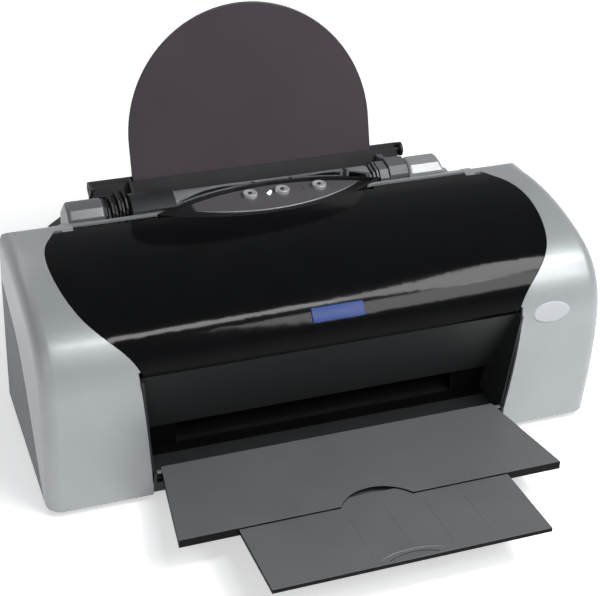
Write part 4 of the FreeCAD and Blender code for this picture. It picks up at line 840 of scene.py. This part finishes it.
class PRINTER_OT_front(bpy.types.Operator):
    """Dress the front panel, with the paper outlet's sill painted near black as shade and the ribs of its
    sill
    """
    bl_idname = "printer.front"
    bl_label = "Front panel"

    def execute(self, context):
        sizes = context.scene.printer_sizes
        dark_y = local_y(sizes.outlet_shade_y)
        obj = smoothed("front_panel", "front_panel_skin", edge=0.3 * MM, cuts=((0, dark_y, 0), (0, 1, 0)))
        obj.data.materials.append(FINISH["dark_grey"])
        obj.data.materials.append(FINISH["outlet_black"])
        top, reach = sizes.outlet_top, sizes.outlet_half
        # the sill inside the outlet is painted near black as shade
        paint(obj, 1, lambda c, n: c.y > dark_y and c.z < top and abs(c.x) < reach)
        place(obj, "front_panel")
        points = []
        for i in range(sizes.sill_ribs):
            y = local_y(sizes.sill_first_y + i * sizes.sill_pitch)
            points.append((0, y, surface_z("front_panel", 0, y)))
        rib = bar("sill_rib", 2 * reach + SILL_RIB_OVERHANG, *SILL_RIB)
        repeated("sill_ribs", points, rib, (0, 0, 0), FINISH["tray_grey"], "front_panel")
        return {"FINISHED"}


class PRINTER_OT_tray(bpy.types.Operator):
    """Dress the output tray and its extension, with their upright edges painted near black as shade,
    fore-and-aft ribs and a grip lightened as a painted highlight
    """
    bl_idname = "printer.tray"
    bl_label = "Tray"

    def execute(self, context):
        sizes = context.scene.printer_sizes
        for node in ("output_tray", "tray_extension"):
            obj = smoothed(node, node + "_skin", edge=0.5 * MM)
            obj.data.materials.append(FINISH["tray_grey"])
            obj.data.materials.append(FINISH["tray_edge"])
            # the tray's upright faces are painted near black as shade
            paint(obj, 1, lambda c, n: abs(n.z) < PLATE_EDGE)
            place(obj, node)
        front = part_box("tray_extension")[0][1]
        length = sizes.extension_rib_length
        y = front + sizes.extension_rib_inset + length / 2
        points = [(x * MM, y, surface_z("tray_extension", x * MM, y) - EXTENSION_RIB_SINK)
                  for x in EXTENSION_RIB_XS]
        rib = bar("extension_rib", length, *EXTENSION_RIB)
        rib.data.transform(Matrix.Rotation(-sizes.tray_tilt, 4, "X") @ Matrix.Rotation(math.pi / 2, 4, "Z"))
        repeated("extension_ribs", points, rib, (0, 0, 0), FINISH["tray_grey"], "tray_extension")
        y = front + sizes.crescent_y
        half = 12  # steps from the grip's crest to an end
        turns = [math.pi / 2 * (i / half - 1) for i in range(2 * half + 1)]
        arc = [(sizes.crescent_half * math.sin(a),
                y + sizes.crescent_rise * (math.cos(a * CRESCENT_CURL) - 1)) for a in turns]
        path = [(x, v, surface_z("tray_extension", x, v) + CRESCENT_LIFT) for x, v in arc]
        # the crescent is coloured lighter than the tray as a painted highlight
        swept("grip_crescent", path, CRESCENT_RADIUS, FINISH["grip_highlight"], "tray_extension")
        return {"FINISHED"}


class PRINTER_OT_support(bpy.types.Operator):
    """Dress the smoked paper support, with a bevelled rim"""
    bl_idname = "printer.support"
    bl_label = "Paper support"

    def execute(self, context):
        obj = smoothed("paper_support", "paper_support_skin", edge=1.0 * MM)
        obj.data.materials.append(FINISH["smoked"])
        obj.data.materials.append(FINISH["smoked_rim"])
        front = Vector((0, -math.cos(context.scene.printer_sizes.sheet_lean), 0))
        paint(obj, 1, lambda c, n: abs(n.x) > 0.2 or n.z > 0.6 or n.dot(front) < 0.2 and abs(n.y) < 0.6)
        place(obj, "paper_support")
        return {"FINISHED"}


class PRINTER_OT_feeder(bpy.types.Operator):
    """Dress the sheet feeder: covers, bar, guides and frame"""
    bl_idname = "printer.feeder"
    bl_label = "Sheet feeder"

    def execute(self, context):
        # the left cover gets the lacquer darkened as painted shade, the right cover the lacquer lightened as
        # painted light
        for node, finish in (("feeder_left_cover", "feeder_silver"), ("feeder_right_cover", "feeder_pale")):
            dress(node, node + "_skin", FINISH[finish], edge=0.8 * MM, segments=3)
        dress("feeder_lip", "feeder_lip_skin", FINISH["bar_silver"], edge=0.6 * MM)
        dress("edge_guide", "edge_guide_skin", FINISH["dark_grey"], edge=0.5 * MM)
        dress("fixed_edge_guide", "fixed_edge_guide_skin", FINISH["guide_grey"], edge=0.5 * MM)
        dress("feeder_frame", "feeder_frame_skin", FINISH["inner_black"], edge=0.25 * MM)
        dress("hopper_plate", "hopper_plate_skin", FINISH["inner_black"], edge=0.3 * MM)
        return {"FINISHED"}


class PRINTER_OT_controls(bpy.types.Operator):
    """Dress the control panel: bowl, shelf lip, buttons and lamps"""
    bl_idname = "printer.controls"
    bl_label = "Controls"

    def execute(self, context):
        sizes = context.scene.printer_sizes
        dress("control_panel", "control_panel_skin", FINISH["eye_shelf"], edge=0.4 * MM)
        path = [(x, y, sizes.shelf_level + SHELF_LIP_LIFT) for x, y in shelf_arc(sizes, 28)]
        swept("shelf_lip", path, SHELF_LIP_RADIUS, FINISH["shelf_lip"], "control_panel")
        path = [(x * MM, local_y(y * MM), sizes.shelf_level + LAMP_WINDOW_LIFT) for x, y in LAMP_WINDOW]
        swept("lamp_window", path, LAMP_WINDOW_RADIUS, FINISH["lens_lit"], "control_panel")
        for key in ("power", "paper", "ink"):
            node = key + "_button"
            dress(node, node + "_cap", FINISH["button_silver"], edge=0.8 * MM, segments=4)
            low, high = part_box(node)
            centre = Vector(((low[0] + high[0]) / 2, (low[1] + high[1]) / 2, high[2]))
            mark = turned(key + "_mark", BUTTON_MARK, centre)
            mark.data.materials.append(FINISH["inner_black"])
            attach(mark, body_of(node))
        obj = smoothed("indicator_lenses", "lamp_lenses", edge=0.3 * MM)
        obj.data.materials.append(FINISH["lens_clear"])
        obj.data.materials.append(FINISH["lens_lit"])
        paint(obj, 1, lambda c, n: abs(c.x) < LIT_LENS_REACH)
        place(obj, "indicator_lenses")
        return {"FINISHED"}


class PRINTER_OT_fasteners(bpy.types.Operator):
    """Dress the screws and stand turned feet under the base"""
    bl_idname = "printer.fasteners"
    bl_label = "Screws and feet"

    def execute(self, context):
        dress("rear_screws", "rear_screw_heads", FINISH["screw_steel"], edge=0.3 * MM)
        radius = context.scene.printer_sizes.foot_radius
        r = radius / MM
        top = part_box("rubber_feet")[1][2] / MM
        rim = ((r - 1.0, 0.0), (r - 0.3, 0.3), (r, 1.0), (r, top), (0, top))
        source = turned("foot", FOOT_HOLLOW + rim, Vector((0, 0, 0)))
        repeated("turned_feet", foot_centres("rubber_feet", radius), source, (0, 0, math.pi),
                 FINISH["foot_rubber"], "rubber_feet", True)
        return {"FINISHED"}


class PRINTER_OT_label(bpy.types.Operator):
    """Lay a blank pale oval on the front of the right wing"""
    bl_idname = "printer.label"
    bl_label = "Blank label"

    def execute(self, context):
        sizes = context.scene.printer_sizes
        bm = bmesh.new()

        def on_wing(across, up):
            start = Vector((sizes.label_x + across, -0.3, sizes.label_z + up))
            point, normal = surface("upper_case", start, Vector((0, 1, 0)))
            return point + normal * LABEL_LIFT

        middle = bm.verts.new(on_wing(0, 0))
        inner = [middle] * LABEL_STEPS
        for ring in range(1, LABEL_RINGS + 1):
            share = ring / LABEL_RINGS
            outer = []
            for k in range(LABEL_STEPS):
                a = 2 * math.pi * k / LABEL_STEPS
                outer.append(bm.verts.new(on_wing(sizes.label_half[0] * share * math.cos(a),
                                                  sizes.label_half[1] * share * math.sin(a))))
            for k in range(LABEL_STEPS):
                after = (k + 1) % LABEL_STEPS
                corners = [inner[k], outer[k], outer[after], inner[after]]
                bm.faces.new(list(dict.fromkeys(corners)))
            inner = outer
        bmesh.ops.recalc_face_normals(bm, faces=bm.faces)
        mesh = bpy.data.meshes.new("blank_oval_label")
        bm.to_mesh(mesh)
        bm.free()
        if mesh.polygons[0].normal.y > 0:
            mesh.flip_normals()
        obj = bpy.data.objects.new("blank_oval_label", mesh)
        solid = obj.modifiers.new("thickness", "SOLIDIFY")
        solid.thickness = LABEL_THICKNESS
        show(obj)
        finished(obj)
        obj.data.shade_smooth()
        obj.data.materials.append(FINISH["pale_label"])
        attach(obj, body_of("upper_case"))
        return {"FINISHED"}


class PRINTER_OT_mechanism(bpy.types.Operator):
    """Soften the edges of the pieces that show when the cover is open"""
    bl_idname = "printer.mechanism"
    bl_label = "Mechanism"

    def execute(self, context):
        for node in ("carriage", "cartridge_clamp", "cartridge_black", "cartridge_cyan", "cartridge_magenta",
                     "cartridge_yellow", "main_frame", "platen", "feed_tyres"):
            dress(node, node + "_piece", FINISH[SLOTS[node]], edge=0.3 * MM)
        return {"FINISHED"}


CLASSES = (
    PrinterColours, PrinterStage, PrinterSizes,
    PRINTER_OT_stage, PRINTER_OT_finishes, PRINTER_OT_casing, PRINTER_OT_cover, PRINTER_OT_front,
    PRINTER_OT_tray, PRINTER_OT_support, PRINTER_OT_feeder, PRINTER_OT_controls, PRINTER_OT_fasteners,
    PRINTER_OT_label, PRINTER_OT_mechanism,
)
STEPS = tuple(cls for cls in CLASSES if issubclass(cls, bpy.types.Operator))


class PRINTER_PT_pieces(bpy.types.Panel):
    """Buttons for the printer's pieces"""
    bl_label = "Printer"
    bl_idname = "PRINTER_PT_pieces"
    bl_space_type = "VIEW_3D"
    bl_region_type = "UI"
    bl_category = "Printer"

    def draw(self, context):
        for cls in STEPS:
            self.layout.operator(cls.bl_idname)


def register():
    for cls in CLASSES + (PRINTER_PT_pieces,):
        bpy.utils.register_class(cls)
    bpy.types.Scene.printer_colours = bpy.props.PointerProperty(type=PrinterColours)
    bpy.types.Scene.printer_stage = bpy.props.PointerProperty(type=PrinterStage)
    bpy.types.Scene.printer_sizes = bpy.props.PointerProperty(type=PrinterSizes)


def unregister():
    del bpy.types.Scene.printer_sizes
    del bpy.types.Scene.printer_stage
    del bpy.types.Scene.printer_colours
    for cls in reversed(CLASSES + (PRINTER_PT_pieces,)):
        bpy.utils.unregister_class(cls)


def main():
    register()
    for cls in STEPS:
        group, name = cls.bl_idname.split(".")
        getattr(getattr(bpy.ops, group), name)()


if __name__ == "__main__":
    main()
